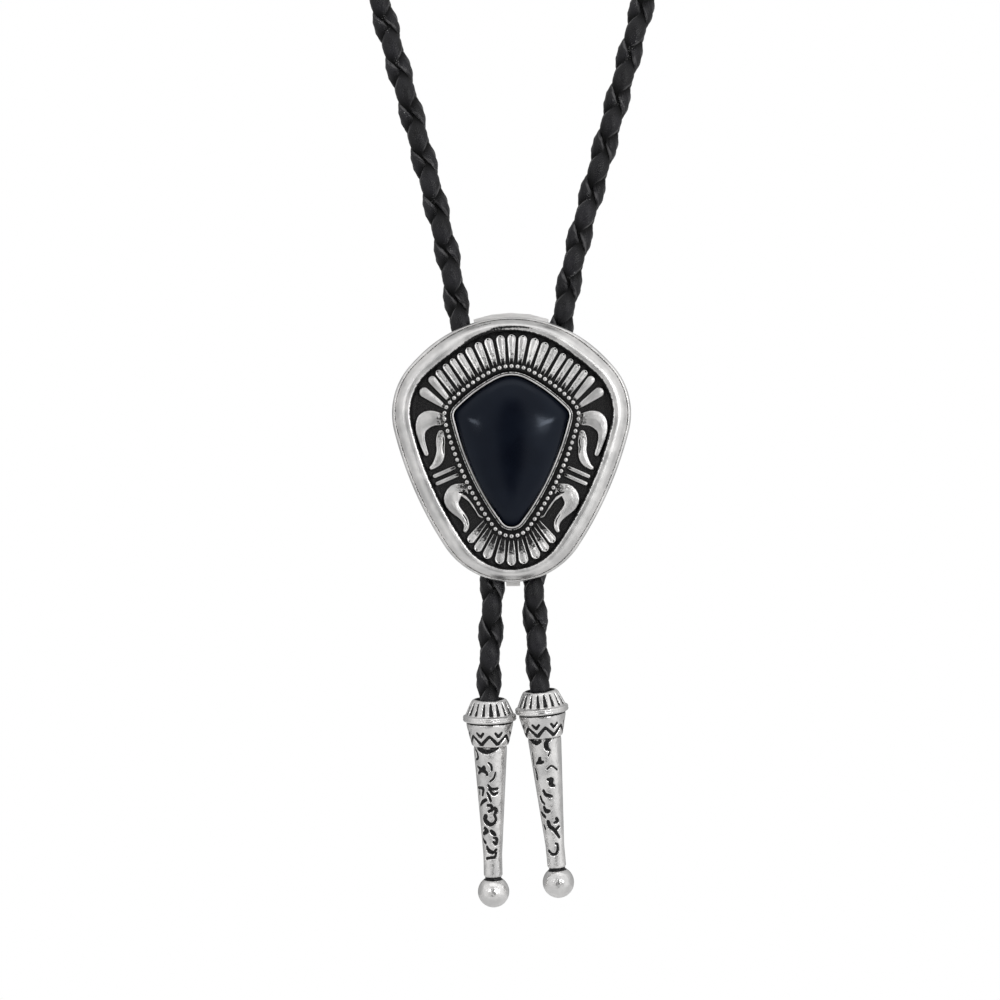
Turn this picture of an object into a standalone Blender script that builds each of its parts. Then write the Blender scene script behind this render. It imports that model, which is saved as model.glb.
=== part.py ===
"""A bolo tie: a cast slide with a black cabochon on a braided leather cord with two cast tips.

Metres, +Z up. The front faces -Y. The origin is in the cord at the nape, where it hangs on the neck.
Points of the slide's face are (x, z) from the middle of the slide, with a height off its flat back.
"""
import math

import bmesh
import bpy
from mathutils import Matrix, Vector

# Clearance between pieces that touch
GAP = 0.0003

# Steepest fold, in degrees, that is still shaded smooth
SHARP_ANGLE = 40

# Cord: a route from the left tip, behind the slide, round the neck and back to the right tip
CORD_DIAMETER = 0.0045
CORD_STEP = 0.0114
CORD_SIDE_RESOLUTION = 2
ROUTE_SPANS = 24
CORD_ROUTE = [
    (-0.00396, -0.1195, -0.3412),
    (-0.00413, -0.1200, -0.3335),
    (-0.00418, -0.1200, -0.3292),
    (-0.00398, -0.1200, -0.3241),
    (-0.00355, -0.1200, -0.3117),
    (-0.00430, -0.1200, -0.3000),
    (-0.00580, -0.1200, -0.2870),
    (-0.00760, -0.1200, -0.2750),
    (-0.00975, -0.1200, -0.2623),
    (-0.01190, -0.1200, -0.2506),
    (-0.01785, -0.1193, -0.2271),
    (-0.02440, -0.1176, -0.2038),
    (-0.03300, -0.1140, -0.1700),
    (-0.04200, -0.1095, -0.1360),
    (-0.05100, -0.1030, -0.1020),
    (-0.05850, -0.0935, -0.0710),
    (-0.06350, -0.0800, -0.0460),
    (-0.06600, -0.0600, -0.0270),
    (-0.06050, -0.0340, -0.0140),
    (-0.04150, -0.0135, -0.0050),
    (-0.02050, -0.0031, -0.0010),
    (0.0, 0.0, 0.0),
    (0.02050, -0.0031, -0.0010),
    (0.04150, -0.0135, -0.0050),
    (0.06050, -0.0340, -0.0140),
    (0.06600, -0.0600, -0.0270),
    (0.06350, -0.0800, -0.0460),
    (0.05850, -0.0935, -0.0710),
    (0.05100, -0.1030, -0.1020),
    (0.04200, -0.1095, -0.1360),
    (0.03300, -0.1140, -0.1700),
    (0.02450, -0.1176, -0.2038),
    (0.01830, -0.1193, -0.2271),
    (0.01190, -0.1200, -0.2506),
    (0.00960, -0.1200, -0.2623),
    (0.00760, -0.1200, -0.2750),
    (0.00590, -0.1200, -0.2870),
    (0.00465, -0.1200, -0.3000),
    (0.00418, -0.1200, -0.3117),
    (0.00480, -0.1200, -0.3241),
    (0.00533, -0.1200, -0.3319),
    (0.00607, -0.1195, -0.33955),
]

# Slide: its place and its outline, a kite of tangent arcs. A crown or a toe is a share of the round
# that would run straight into the corner, and a shoulder or a side is so many times the smallest arc
# that joins its two neighbours.
SLIDE_MIDDLE_Z = -0.2870
SLIDE_WIDTH = 0.0442
SLIDE_HEIGHT = 0.0490
SLIDE_WIDEST = 0.0067
SLIDE_CORNER_RADIUS = 0.0133
SLIDE_CROWN_SHARE = 0.9853
SLIDE_SHOULDER_RATIO = 1.474
SLIDE_SIDE_RATIO = 2.997
SLIDE_TOE_SHARE = 0.6062

# Rim, and the sunk face inside it
RIM_TOP_WIDTH = 0.0027
RIM_SIDE_WIDTH = 0.0036
RIM_BOTTOM_WIDTH = 0.0025
RIM_HEIGHT = 0.0036
FACE_HEIGHT = 0.0019
FACE_CORNER_RADIUS = 0.0100
FACE_CROWN_SHARE = 0.7793
FACE_SHOULDER_RATIO = 3.402
FACE_SIDE_RATIO = 3.133
FACE_TOE_SHARE = 0.4675
FACE_WALL_DRAFT = 0.00012
BACK_CHAMFER = 0.00025

# Section across the rim, from its outer edge to the sunk face
RIM_SECTION = [
    {"across": 0.00, "height": 0.44},
    {"across": 0.05, "height": 0.56},
    {"across": 0.20, "height": 0.66},
    {"across": 0.38, "height": 0.84},
    {"across": 0.60, "height": 0.97},
    {"across": 0.80, "height": 1.00},
    {"across": 0.94, "height": 0.94},
    {"across": 1.00, "height": 0.84},
]

# Stone, its bezel and the granules round it
STONE_WIDTH = 0.0208
STONE_TOP = 0.0134
STONE_BOTTOM = -0.0140
STONE_WIDEST = 0.0062
STONE_CORNER_RADIUS = 0.0016
STONE_CROWN_SHARE = 0.495
STONE_SHOULDER_RATIO = 3.444
STONE_SIDE_RATIO = 4.494
STONE_TOE_SHARE = 0.1502
STONE_GIRDLE = 0.0007
STONE_DOME = 0.0030
STONE_DOME_TURNS = [18, 34, 50, 66, 80]
STONE_PEAK_Z = 0.0022
BEZEL_CLEARANCE = 0.0003
BEZEL_WALL = 0.0005
BEZEL_HEIGHT = 0.0010
SEAT_HEIGHT = 0.0002
GRANULE_OFFSET = 0.0020
GRANULE_RADIUS = 0.00038
GRANULE_LIFT = 0.00008
GRANULE_PITCH = 0.001125
GRANULE_SIDES = 8
GRANULE_ROWS = 4

# Raised rays: their feet stand evenly along the granules, and each leans its own way
RELIEF_HEIGHT = 0.0008
RELIEF_ROOT = 0.0003
RELIEF_SHOULDER_SHARE = 0.55
STROKE_END_SHARE = 0.85
STROKE_END_WIDTH_SHARE = 0.5
RAY_PITCH = 0.00152
RAY_FOOT_GAP = 0.0004
RAY_END_GAP = 0.0006
RAY_FOOT_HALF_WIDTH = 0.00047
RAY_END_SHARE = 0.36
RAY_SECTION = [
    {"along": 0.00, "widened": 0.00},
    {"along": 0.75, "widened": 0.92},
    {"along": 1.00, "widened": 1.00},
]
TOP_RAY_TILTS = [0, 7, 16, 22, 27.5, 31.7, 33.5, 34.8, 37.5, 40, 55]
BOTTOM_RAY_TILTS = [0, 10, 23, 32, 39]

# Raised hooks, scrolls and bars on one side: along and across are shares of the sunk band,
# from its top to its toe and from the granules to the rim, and half is a share of MOTIF_HALF_WIDTH
MOTIF_HALF_WIDTH = 0.0013
UPPER_HOOK = [
    {"along": 0.394, "across": 0.30, "half": 0.80},
    {"along": 0.408, "across": 0.46, "half": 0.96},
    {"along": 0.435, "across": 0.71, "half": 0.92},
    {"along": 0.470, "across": 0.79, "half": 0.74},
    {"along": 0.505, "across": 0.81, "half": 0.54},
    {"along": 0.537, "across": 0.82, "half": 0.38},
]
UPPER_SCROLL = [
    {"along": 0.455, "across": 0.24, "half": 0.40},
    {"along": 0.481, "across": 0.28, "half": 0.60},
    {"along": 0.512, "across": 0.36, "half": 0.66},
    {"along": 0.544, "across": 0.50, "half": 0.62},
    {"along": 0.568, "across": 0.69, "half": 0.52},
    {"along": 0.581, "across": 0.80, "half": 0.38},
]
UPPER_BAR = [
    {"along": 0.602, "across": 0.22, "half": 0.28},
    {"along": 0.611, "across": 0.82, "half": 0.30},
]
LOWER_BAR = [
    {"along": 0.641, "across": 0.22, "half": 0.28},
    {"along": 0.640, "across": 0.84, "half": 0.30},
]
LOWER_HOOK = [
    {"along": 0.691, "across": 0.36, "half": 0.66},
    {"along": 0.687, "across": 0.56, "half": 0.90},
    {"along": 0.705, "across": 0.69, "half": 0.90},
    {"along": 0.735, "across": 0.67, "half": 0.70},
    {"along": 0.767, "across": 0.62, "half": 0.56},
    {"along": 0.795, "across": 0.63, "half": 0.48},
    {"along": 0.809, "across": 0.72, "half": 0.36},
]
INNER_ARM = [
    {"along": 0.735, "across": 0.26, "half": 0.15},
    {"along": 0.776, "across": 0.21, "half": 0.16},
    {"along": 0.815, "across": 0.22, "half": 0.16},
    {"along": 0.833, "across": 0.26, "half": 0.15},
]

# Back clip: a bent plate with a channel round each run of the cord
CLIP_THICKNESS = 0.0007
CLIP_CLEARANCE = 0.00035
CLIP_FLANGE = 0.0030
CLIP_CHANNEL_TOP = 0.0140
CLIP_CHANNEL_BOTTOM = -0.0160
CLIP_TOP_LIP = 0.0009
CLIP_BOTTOM_LIP = 0.0008
CLIP_LIP_RADIUS = 0.0220
CLIP_ROWS = 6
CLIP_BEND_TURNS = [157.5, 112.5, 67.5, 22.5]
CLIP_WEB_SHARES = [0.25, 0.5, 0.75]

# Tips: a ribbed collar, a cup, a tapered shaft and a ball, all turned about one axis
TIP_LENGTH = 0.0393
TIP_SOCKET_DEPTH = 0.0081
TIP_SIDES = 16
COLLAR_TOP_RADIUS = 0.0035
COLLAR_RADIUS = 0.0050
COLLAR_HEIGHT = 0.0030
COLLAR_RING = 0.0010
COLLAR_RING_FLAT_SHARE = 0.4
COLLAR_RIBS = 18
RIB_GROOVE_WIDTH = 0.0006
RIB_GROOVE_DEPTH = 0.00035
RIB_GROOVE_FLOOR_SHARE = 0.6
RIB_GROOVE_SECTION = [
    {"down": 0.20, "width": 0.80},
    {"down": 0.88, "width": 1.15},
]
CUP_TOP_RADIUS = 0.00435
CUP_BOTTOM_RADIUS = 0.0035
CUP_HEIGHT = 0.0042
ZIGZAG_TEETH = 8
ZIGZAG_HIGH_SHARE = 0.28
ZIGZAG_LOW_SHARE = 0.78
ZIGZAG_WIDTH = 0.0005
ZIGZAG_DEPTH = 0.0002
SHAFT_TOP_RADIUS = 0.0031
SHAFT_END_RADIUS = 0.00175
NECK_RADIUS = 0.0015
NECK_HEIGHT = 0.0005
BALL_RADIUS = 0.00294
BALL_STEPS = 6

# Sunk scrolls on a shaft, in rings of a few: out and down are shares of SCROLL_LENGTH, and half is
# a share of SCROLL_HALF_WIDTH
SCROLL_RINGS = 4
SCROLLS_ROUND = 3
SCROLL_LENGTH = 0.0034
SCROLL_HALF_WIDTH = 0.0003
SCROLL_DEPTH = 0.00025
SCROLL_SPINE = [
    {"out": -0.28, "down": 0.16, "half": 0.55},
    {"out": 0.02, "down": 0.00, "half": 0.90},
    {"out": 0.26, "down": 0.28, "half": 1.00},
    {"out": 0.12, "down": 0.64, "half": 0.80},
    {"out": -0.20, "down": 0.96, "half": 0.35},
]

CORD_RADIUS = CORD_DIAMETER / 2
SLIDE_BACK_Y = CORD_ROUTE[6][1] - CORD_RADIUS - GAP
SLIDE_TOP = SLIDE_HEIGHT / 2
SLIDE_BOTTOM = -SLIDE_HEIGHT / 2


class Kite:
    """A closed outline of tangent arcs with a crown, shoulders, corners, long sides and a toe."""

    arc_steps = (3, 4, 6, 6, 4)

    def __init__(self, half_width, top, bottom, widest, corner, crown, shoulder, side, toe):
        corner_centre = Vector((half_width - corner, widest))
        crown_radius = crown * round_to_corner(corner_centre.x, top - widest, corner)
        toe_radius = toe * round_to_corner(corner_centre.x, widest - bottom, corner)
        crown_centre = Vector((0, top - crown_radius))
        toe_centre = Vector((0, bottom + toe_radius))
        shoulder_radius = shoulder * smallest_join(crown_centre, crown_radius, corner_centre, corner)
        side_radius = side * smallest_join(corner_centre, corner, toe_centre, toe_radius)
        shoulder_centre = joining_centre(crown_centre, crown_radius, corner_centre, corner,
                                         shoulder_radius)
        side_centre = joining_centre(corner_centre, corner, toe_centre, toe_radius, side_radius)
        turns = [
            math.pi / 2,
            angle_between(shoulder_centre, crown_centre),
            angle_between(shoulder_centre, corner_centre),
            angle_between(side_centre, corner_centre),
            angle_between(side_centre, toe_centre),
            -math.pi / 2,
        ]
        centres = [crown_centre, shoulder_centre, corner_centre, side_centre, toe_centre]
        radii = [crown_radius, shoulder_radius, corner, side_radius, toe_radius]
        self.arcs = list(zip(centres, radii, turns, turns[1:]))

    def half(self, inset=0.0):
        """Points of the right half from the top to the toe."""
        points = []
        for (centre, radius, start, end), steps in zip(self.arcs, self.arc_steps):
            for step in range(steps):
                turn = start + (end - start) * step / steps
                points.append(centre + (radius - inset) * direction(turn))
        centre, radius, start, end = self.arcs[-1]
        points.append(centre + (radius - inset) * direction(end))
        return points

    def ring(self, inset=0.0):
        """The whole closed outline."""
        right = self.half(inset)
        left = [Vector((-point.x, point.y)) for point in reversed(right[1:-1])]
        return right + left

    def walk(self, distance, inset=0.0):
        """The point at a distance along the right half from the top."""
        for centre, radius, start, end in self.arcs:
            length = (radius - inset) * (start - end)
            if distance <= length or end == -math.pi / 2:
                turn = start - distance / (radius - inset)
                return centre + (radius - inset) * direction(turn)
            distance -= length

    def half_length(self, inset=0.0):
        return sum((radius - inset) * (start - end) for _, radius, start, end in self.arcs)


def direction(turn):
    return Vector((math.cos(turn), math.sin(turn)))


def angle_between(start, end):
    return math.atan2(end.y - start.y, end.x - start.x)


def round_to_corner(corner_x, height, corner):
    """Radius of the round from the middle line that would run straight into the corner's arc."""
    return (corner_x ** 2 + height ** 2 - corner ** 2) / (2 * (height - corner))


def smallest_join(first, first_radius, second, second_radius):
    """Radius of the smallest arc that runs round two circles."""
    return ((second - first).length + first_radius + second_radius) / 2


def joining_centre(first, first_radius, second, second_radius, radius):
    """Centre of the arc that runs round two circles and bulges to the right."""
    first_reach = radius - first_radius
    second_reach = radius - second_radius
    line = second - first
    length = line.length
    along = (first_reach ** 2 - second_reach ** 2 + length ** 2) / (2 * length)
    away = math.sqrt(first_reach ** 2 - along ** 2)
    unit = line / length
    return first + unit * along + Vector((unit.y, -unit.x)) * away


SLIDE_KITE = Kite(SLIDE_WIDTH / 2, SLIDE_TOP, SLIDE_BOTTOM, SLIDE_WIDEST, SLIDE_CORNER_RADIUS,
                  SLIDE_CROWN_SHARE, SLIDE_SHOULDER_RATIO, SLIDE_SIDE_RATIO, SLIDE_TOE_SHARE)
FACE_KITE = Kite(SLIDE_WIDTH / 2 - RIM_SIDE_WIDTH, SLIDE_TOP - RIM_TOP_WIDTH,
                 SLIDE_BOTTOM + RIM_BOTTOM_WIDTH, SLIDE_WIDEST, FACE_CORNER_RADIUS,
                 FACE_CROWN_SHARE, FACE_SHOULDER_RATIO, FACE_SIDE_RATIO, FACE_TOE_SHARE)
STONE_KITE = Kite(STONE_WIDTH / 2, STONE_TOP, STONE_BOTTOM, STONE_WIDEST, STONE_CORNER_RADIUS,
                  STONE_CROWN_SHARE, STONE_SHOULDER_RATIO, STONE_SIDE_RATIO, STONE_TOE_SHARE)


def clear_objects():
    for item in list(bpy.data.objects):
        bpy.data.objects.remove(item, do_unlink=True)


def new_collection(name):
    group = bpy.data.collections.new(name)
    bpy.context.scene.collection.children.link(group)
    return group


def new_material(name, colour, roughness, metallic):
    made = bpy.data.materials.new(name)
    made.use_nodes = True
    shader = made.node_tree.nodes["Principled BSDF"]
    shader.inputs["Base Color"].default_value = (*colour, 1)
    shader.inputs["Roughness"].default_value = roughness
    shader.inputs["Metallic"].default_value = metallic
    return made


def new_object(name, shape, group, material=None):
    """Turn a bmesh or a mesh into an object of a collection."""
    if isinstance(shape, bmesh.types.BMesh):
        mesh = bpy.data.meshes.new(name)
        shape.to_mesh(mesh)
        shape.free()
    else:
        mesh = shape
    item = bpy.data.objects.new(name, mesh)
    group.objects.link(item)
    if material:
        mesh.materials.append(material)
        mesh.shade_smooth()
        mesh.set_sharp_from_angle(angle=math.radians(SHARP_ANGLE))
    return item


def new_cutter(name, shape, group):
    item = new_object(name, shape, group)
    item.hide_render = True
    item.display_type = "WIRE"
    return item


def add_boolean(item, tool, operation):
    cut = item.modifiers.new(operation.title(), "BOOLEAN")
    cut.operation = operation
    cut.solver = "EXACT"
    cut.use_self = True
    cut.object = tool


def loft(bm, rings):
    """Skin between rings of as many points, with both ends capped and all faces pointing out."""
    loops = [[bm.verts.new(point) for point in ring] for ring in rings]
    faces = [bm.faces.new(list(reversed(loops[0]))), bm.faces.new(loops[-1])]
    count = len(loops[0])
    for low, high in zip(loops, loops[1:]):
        for index in range(count):
            after = (index + 1) % count
            faces.append(bm.faces.new((low[index], low[after], high[after], high[index])))
    bmesh.ops.recalc_face_normals(bm, faces=faces)
    return faces


def on_face(point, height):
    """A point of the slide's face in the frame of the whole tie."""
    return Vector((point[0], SLIDE_BACK_Y - height, SLIDE_MIDDLE_Z + point[1]))


def face_ring(ring, height):
    return [on_face(point, height) for point in ring]


def smooth_route(points, spacing):
    """Evenly spaced points on a smooth curve through the route's own points."""
    ends = [2 * points[0] - points[1]] + points + [2 * points[-1] - points[-2]]
    fine = []
    for before, start, end, after in zip(ends, ends[1:], ends[2:], ends[3:]):
        knots = [0.0]
        for near, far in ((before, start), (start, end), (end, after)):
            knots.append(knots[-1] + math.sqrt((far - near).length))
        for step in range(ROUTE_SPANS):
            at = knots[1] + (knots[2] - knots[1]) * step / ROUTE_SPANS
            fine.append(centripetal(before, start, end, after, knots, at))
    fine.append(points[-1].copy())
    length = sum((far - near).length for near, far in zip(fine, fine[1:]))
    count = round(length / spacing)
    evenly = [fine[0]]
    travelled = 0.0
    for near, far in zip(fine, fine[1:]):
        piece = (far - near).length
        while len(evenly) < count and travelled + piece >= len(evenly) * length / count:
            share = (len(evenly) * length / count - travelled) / piece
            evenly.append(near.lerp(far, share))
        travelled += piece
    evenly.append(fine[-1])
    return evenly


def centripetal(before, start, end, after, knots, at):
    """One point of a Catmull-Rom span, worked out with its pyramid of blends."""
    def blend(low, high, low_knot, high_knot):
        return low.lerp(high, (at - low_knot) / (high_knot - low_knot))

    first = blend(before, start, knots[0], knots[1])
    second = blend(start, end, knots[1], knots[2])
    third = blend(end, after, knots[2], knots[3])
    low = blend(first, second, knots[0], knots[2])
    high = blend(second, third, knots[1], knots[3])
    return blend(low, high, knots[1], knots[2])


def stroke(bm, spine, halves, rise, base):
    """A raised stroke on the slide's face: a ridge along a spine, with round ends and a sunk root."""
    stations = []
    count = len(spine)
    for index, (point, half) in enumerate(zip(spine, halves)):
        ahead = spine[min(index + 1, count - 1)] - spine[max(index - 1, 0)]
        stations.append((point, ahead.normalized(), half))
    first, first_way, first_half = stations[0]
    last, last_way, last_half = stations[-1]
    start = first - first_way * first_half * STROKE_END_SHARE
    finish = last + last_way * last_half * STROKE_END_SHARE
    rounded = [(start, first_way, first_half * STROKE_END_WIDTH_SHARE)]
    rounded += stations
    rounded += [(finish, last_way, last_half * STROKE_END_WIDTH_SHARE)]
    rings = []
    for number, (point, way, half) in enumerate(rounded):
        end = number in (0, len(rounded) - 1)
        crest = rise * (RELIEF_SHOULDER_SHARE if end else 1.0)
        side = Vector((-way.y, way.x)) * half
        rings.append([
            on_face(point - side, base - RELIEF_ROOT),
            on_face(point - side, base + crest * RELIEF_SHOULDER_SHARE),
            on_face(point, base + crest),
            on_face(point + side, base + crest * RELIEF_SHOULDER_SHARE),
            on_face(point + side, base - RELIEF_ROOT),
        ])
    faces = loft(bm, rings)
    bmesh.ops.triangulate(bm, faces=faces)


def mirrored(points, side):
    return [Vector((point.x * side, point.y)) for point in points]


def reach(kite, inset, point, way):
    """How far a ray from a point runs before it meets the right half of an outline."""
    outline = kite.half(inset)
    best = None
    for near, far in zip(outline, outline[1:]):
        edge = far - near
        across = way.x * edge.y - way.y * edge.x
        if abs(across) < 1e-12:
            continue
        gap = near - point
        distance = (gap.x * edge.y - gap.y * edge.x) / across
        share = (gap.x * way.y - gap.y * way.x) / across
        if distance > 0 and -1e-6 <= share <= 1 + 1e-6:
            best = distance if best is None else min(best, distance)
    return best


def ray_lines(tilts, from_top):
    """Foot and end of each ray of one fan, on the right half."""
    inset = -(GRANULE_OFFSET + GRANULE_RADIUS + RAY_FOOT_GAP)
    length = STONE_KITE.half_length(inset)
    lines = []
    for number, tilt in enumerate(tilts):
        distance = number * RAY_PITCH
        foot = STONE_KITE.walk(distance if from_top else length - distance, inset)
        lean = math.radians(tilt)
        way = Vector((math.sin(lean), math.cos(lean) if from_top else -math.cos(lean)))
        lines.append((foot, foot + way * reach(FACE_KITE, RAY_END_GAP, foot, way)))
    return lines


def add_rays(bm, tilts, from_top):
    lines = ray_lines(tilts, from_top)
    for number, (foot, end) in enumerate(lines):
        near = lines[max(number - 1, 0)][1]
        far = lines[min(number + 1, len(lines) - 1)][1]
        steps = 1 if number in (0, len(lines) - 1) else 2
        half = RAY_END_SHARE * (far - near).length / steps
        way = (end - foot).normalized()
        start = foot + way * RAY_FOOT_HALF_WIDTH * STROKE_END_SHARE
        head = end - way * half * STROKE_END_SHARE
        spine = [start.lerp(head, row["along"]) for row in RAY_SECTION]
        widening = half - RAY_FOOT_HALF_WIDTH
        halves = [RAY_FOOT_HALF_WIDTH + widening * row["widened"] for row in RAY_SECTION]
        for side in ((1,) if number == 0 else (1, -1)):
            stroke(bm, mirrored(spine, side), halves, RELIEF_HEIGHT, FACE_HEIGHT)


def band_point(along, across):
    """A point of the right half of the sunk band between the granules and the rim."""
    inner = STONE_KITE.walk(along * STONE_KITE.half_length(-GRANULE_OFFSET), -GRANULE_OFFSET)
    outer = FACE_KITE.walk(along * FACE_KITE.half_length())
    return inner.lerp(outer, across)


def add_motifs(bm):
    for table in (UPPER_HOOK, UPPER_SCROLL, UPPER_BAR, LOWER_BAR, LOWER_HOOK, INNER_ARM):
        spine = [band_point(row["along"], row["across"]) for row in table]
        halves = [row["half"] * MOTIF_HALF_WIDTH for row in table]
        for side in (1, -1):
            stroke(bm, mirrored(spine, side), halves, RELIEF_HEIGHT, FACE_HEIGHT)


def add_granules(bm):
    length = STONE_KITE.half_length(-GRANULE_OFFSET)
    count = round(length / GRANULE_PITCH)
    for number in range(count + 1):
        point = STONE_KITE.walk(number * length / count, -GRANULE_OFFSET)
        for side in ((1,) if number in (0, count) else (1, -1)):
            middle = on_face((point.x * side, point.y), FACE_HEIGHT + GRANULE_LIFT)
            place = Matrix.Translation(middle)
            turn = Matrix.Rotation(math.pi / 2, 4, "X")
            bmesh.ops.create_uvsphere(bm, u_segments=GRANULE_SIDES, v_segments=GRANULE_ROWS,
                                      radius=GRANULE_RADIUS, matrix=place @ turn)


def slide_body():
    """The cast body as one loft from its flat back over the rim and the face to the stone's seat."""
    rings = [
        face_ring(SLIDE_KITE.ring(BACK_CHAMFER), 0),
        face_ring(SLIDE_KITE.ring(), BACK_CHAMFER),
    ]
    outer = SLIDE_KITE.ring()
    inner = FACE_KITE.ring()
    for row in RIM_SECTION:
        ring = [edge.lerp(lip, row["across"]) for edge, lip in zip(outer, inner)]
        rings.append(face_ring(ring, row["height"] * RIM_HEIGHT))
    rings.append(face_ring(FACE_KITE.ring(FACE_WALL_DRAFT), FACE_HEIGHT))
    bezel_inside = -BEZEL_CLEARANCE
    bezel_outside = bezel_inside - BEZEL_WALL
    rings.append(face_ring(STONE_KITE.ring(bezel_outside), FACE_HEIGHT))
    rings.append(face_ring(STONE_KITE.ring(bezel_outside), FACE_HEIGHT + BEZEL_HEIGHT))
    rings.append(face_ring(STONE_KITE.ring(bezel_inside), FACE_HEIGHT + BEZEL_HEIGHT))
    rings.append(face_ring(STONE_KITE.ring(bezel_inside), FACE_HEIGHT + SEAT_HEIGHT))
    bm = bmesh.new()
    loft(bm, rings)
    return bm


def make_slide(parts, cutters, material):
    body = new_object("slide", slide_body(), parts, material)
    relief = bmesh.new()
    add_rays(relief, TOP_RAY_TILTS, True)
    add_rays(relief, BOTTOM_RAY_TILTS, False)
    add_motifs(relief)
    add_granules(relief)
    add_boolean(body, new_cutter("slide_relief", relief, cutters), "UNION")


def make_stone(parts, material):
    """A cabochon: a short straight girdle under a dome."""
    foot = FACE_HEIGHT + SEAT_HEIGHT + GAP
    outline = STONE_KITE.ring()
    peak = Vector((0, STONE_PEAK_Z))
    rings = [face_ring(outline, foot), face_ring(outline, foot + STONE_GIRDLE)]
    for turn in STONE_DOME_TURNS:
        share = math.cos(math.radians(turn))
        height = foot + STONE_GIRDLE + STONE_DOME * math.sin(math.radians(turn))
        rings.append(face_ring([peak.lerp(point, share) for point in outline], height))
    bm = bmesh.new()
    loft(bm, rings)
    new_object("stone", bm, parts, material)


def cord_run(side):
    """The stretch of the smooth route that rises behind the slide on one side."""
    line = smooth_route(ROUTE, CORD_RADIUS)
    middle = len(line) // 2
    half = line[middle:] if side > 0 else line[:middle]
    high = SLIDE_MIDDLE_Z + SLIDE_HEIGHT
    return sorted((point for point in half if point.z < high), key=lambda point: point.z)


def cord_x(side, z):
    """Where one run of the cord crosses a height behind the slide."""
    line = RUNS[side]
    for low, high in zip(line, line[1:]):
        if low.z <= z <= high.z:
            return low.lerp(high, (z - low.z) / (high.z - low.z)).x
    return line[-1].x


def clip_columns():
    """Columns of the bent plate from left to right: round one run, over the web and round the other."""
    channel = CORD_RADIUS + CLIP_CLEARANCE
    corner = channel / math.cos(math.radians(CLIP_BEND_TURNS[-1]))
    bends = [{"out": -channel, "back": 0.0, "tall": True}]
    for turn in CLIP_BEND_TURNS:
        away = math.radians(turn)
        back = CORD_RADIUS + corner * math.sin(away)
        bends.append({"out": corner * math.cos(away), "back": back, "tall": False})
    bends.append({"out": channel, "back": 0.0, "tall": False})
    bends.append({"out": channel + CLIP_FLANGE, "back": 0.0, "tall": False})
    columns = [{**bend, "side": -1} for bend in reversed(bends)]
    columns += [{"web": share, "back": 0.0, "tall": True} for share in CLIP_WEB_SHARES]
    columns += [{**bend, "side": 1} for bend in bends]
    return columns


def column_x(column, z):
    """Where a column of the plate stands at one height."""
    if "web" in column:
        left = cord_x(-1, z) + CORD_RADIUS + CLIP_CLEARANCE
        right = cord_x(1, z) - CORD_RADIUS - CLIP_CLEARANCE
        return left + (right - left) * column["web"]
    return cord_x(column["side"], z) + column["side"] * column["out"]


def clip_point(column, share):
    """A point of the plate's front at a share of a column's height."""
    if column["tall"]:
        low = SLIDE_BOTTOM - CLIP_BOTTOM_LIP
        high = SLIDE_TOP + CLIP_TOP_LIP
        from_middle = column_x(column, SLIDE_MIDDLE_Z + high)
        high -= CLIP_LIP_RADIUS - math.sqrt(CLIP_LIP_RADIUS ** 2 - from_middle ** 2)
    else:
        low = CLIP_CHANNEL_BOTTOM
        high = CLIP_CHANNEL_TOP
    z = SLIDE_MIDDLE_Z + low + (high - low) * share
    return Vector((column_x(column, z), SLIDE_BACK_Y + GAP + column["back"], z))


def make_clip(parts, material):
    """The plate lies on the slide's back between the two runs and bends round each of them."""
    bm = bmesh.new()
    grid = []
    for column in clip_columns():
        shares = [row / (CLIP_ROWS - 1) for row in range(CLIP_ROWS)]
        grid.append([bm.verts.new(clip_point(column, share)) for share in shares])
    for near, far in zip(grid, grid[1:]):
        for row in range(CLIP_ROWS - 1):
            bm.faces.new((near[row], far[row], far[row + 1], near[row + 1]))
    plate = new_object("clip_back", bm, parts, material)
    shell = plate.modifiers.new("Solidify", "SOLIDIFY")
    shell.thickness = CLIP_THICKNESS
    shell.offset = -1
    shell.use_even_offset = True


def make_cord(parts, material):
    data = bpy.data.curves.new("cord", "CURVE")
    data.dimensions = "3D"
    data.bevel_depth = CORD_RADIUS
    data.bevel_resolution = CORD_SIDE_RESOLUTION
    data.use_fill_caps = True
    spline = data.splines.new("POLY")
    points = smooth_route(ROUTE, CORD_STEP)
    spline.points.add(len(points) - 1)
    for control, point in zip(spline.points, points):
        control.co = (*point, 1)
    data.materials.append(material)
    item = bpy.data.objects.new("cord", data)
    parts.objects.link(item)


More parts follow.
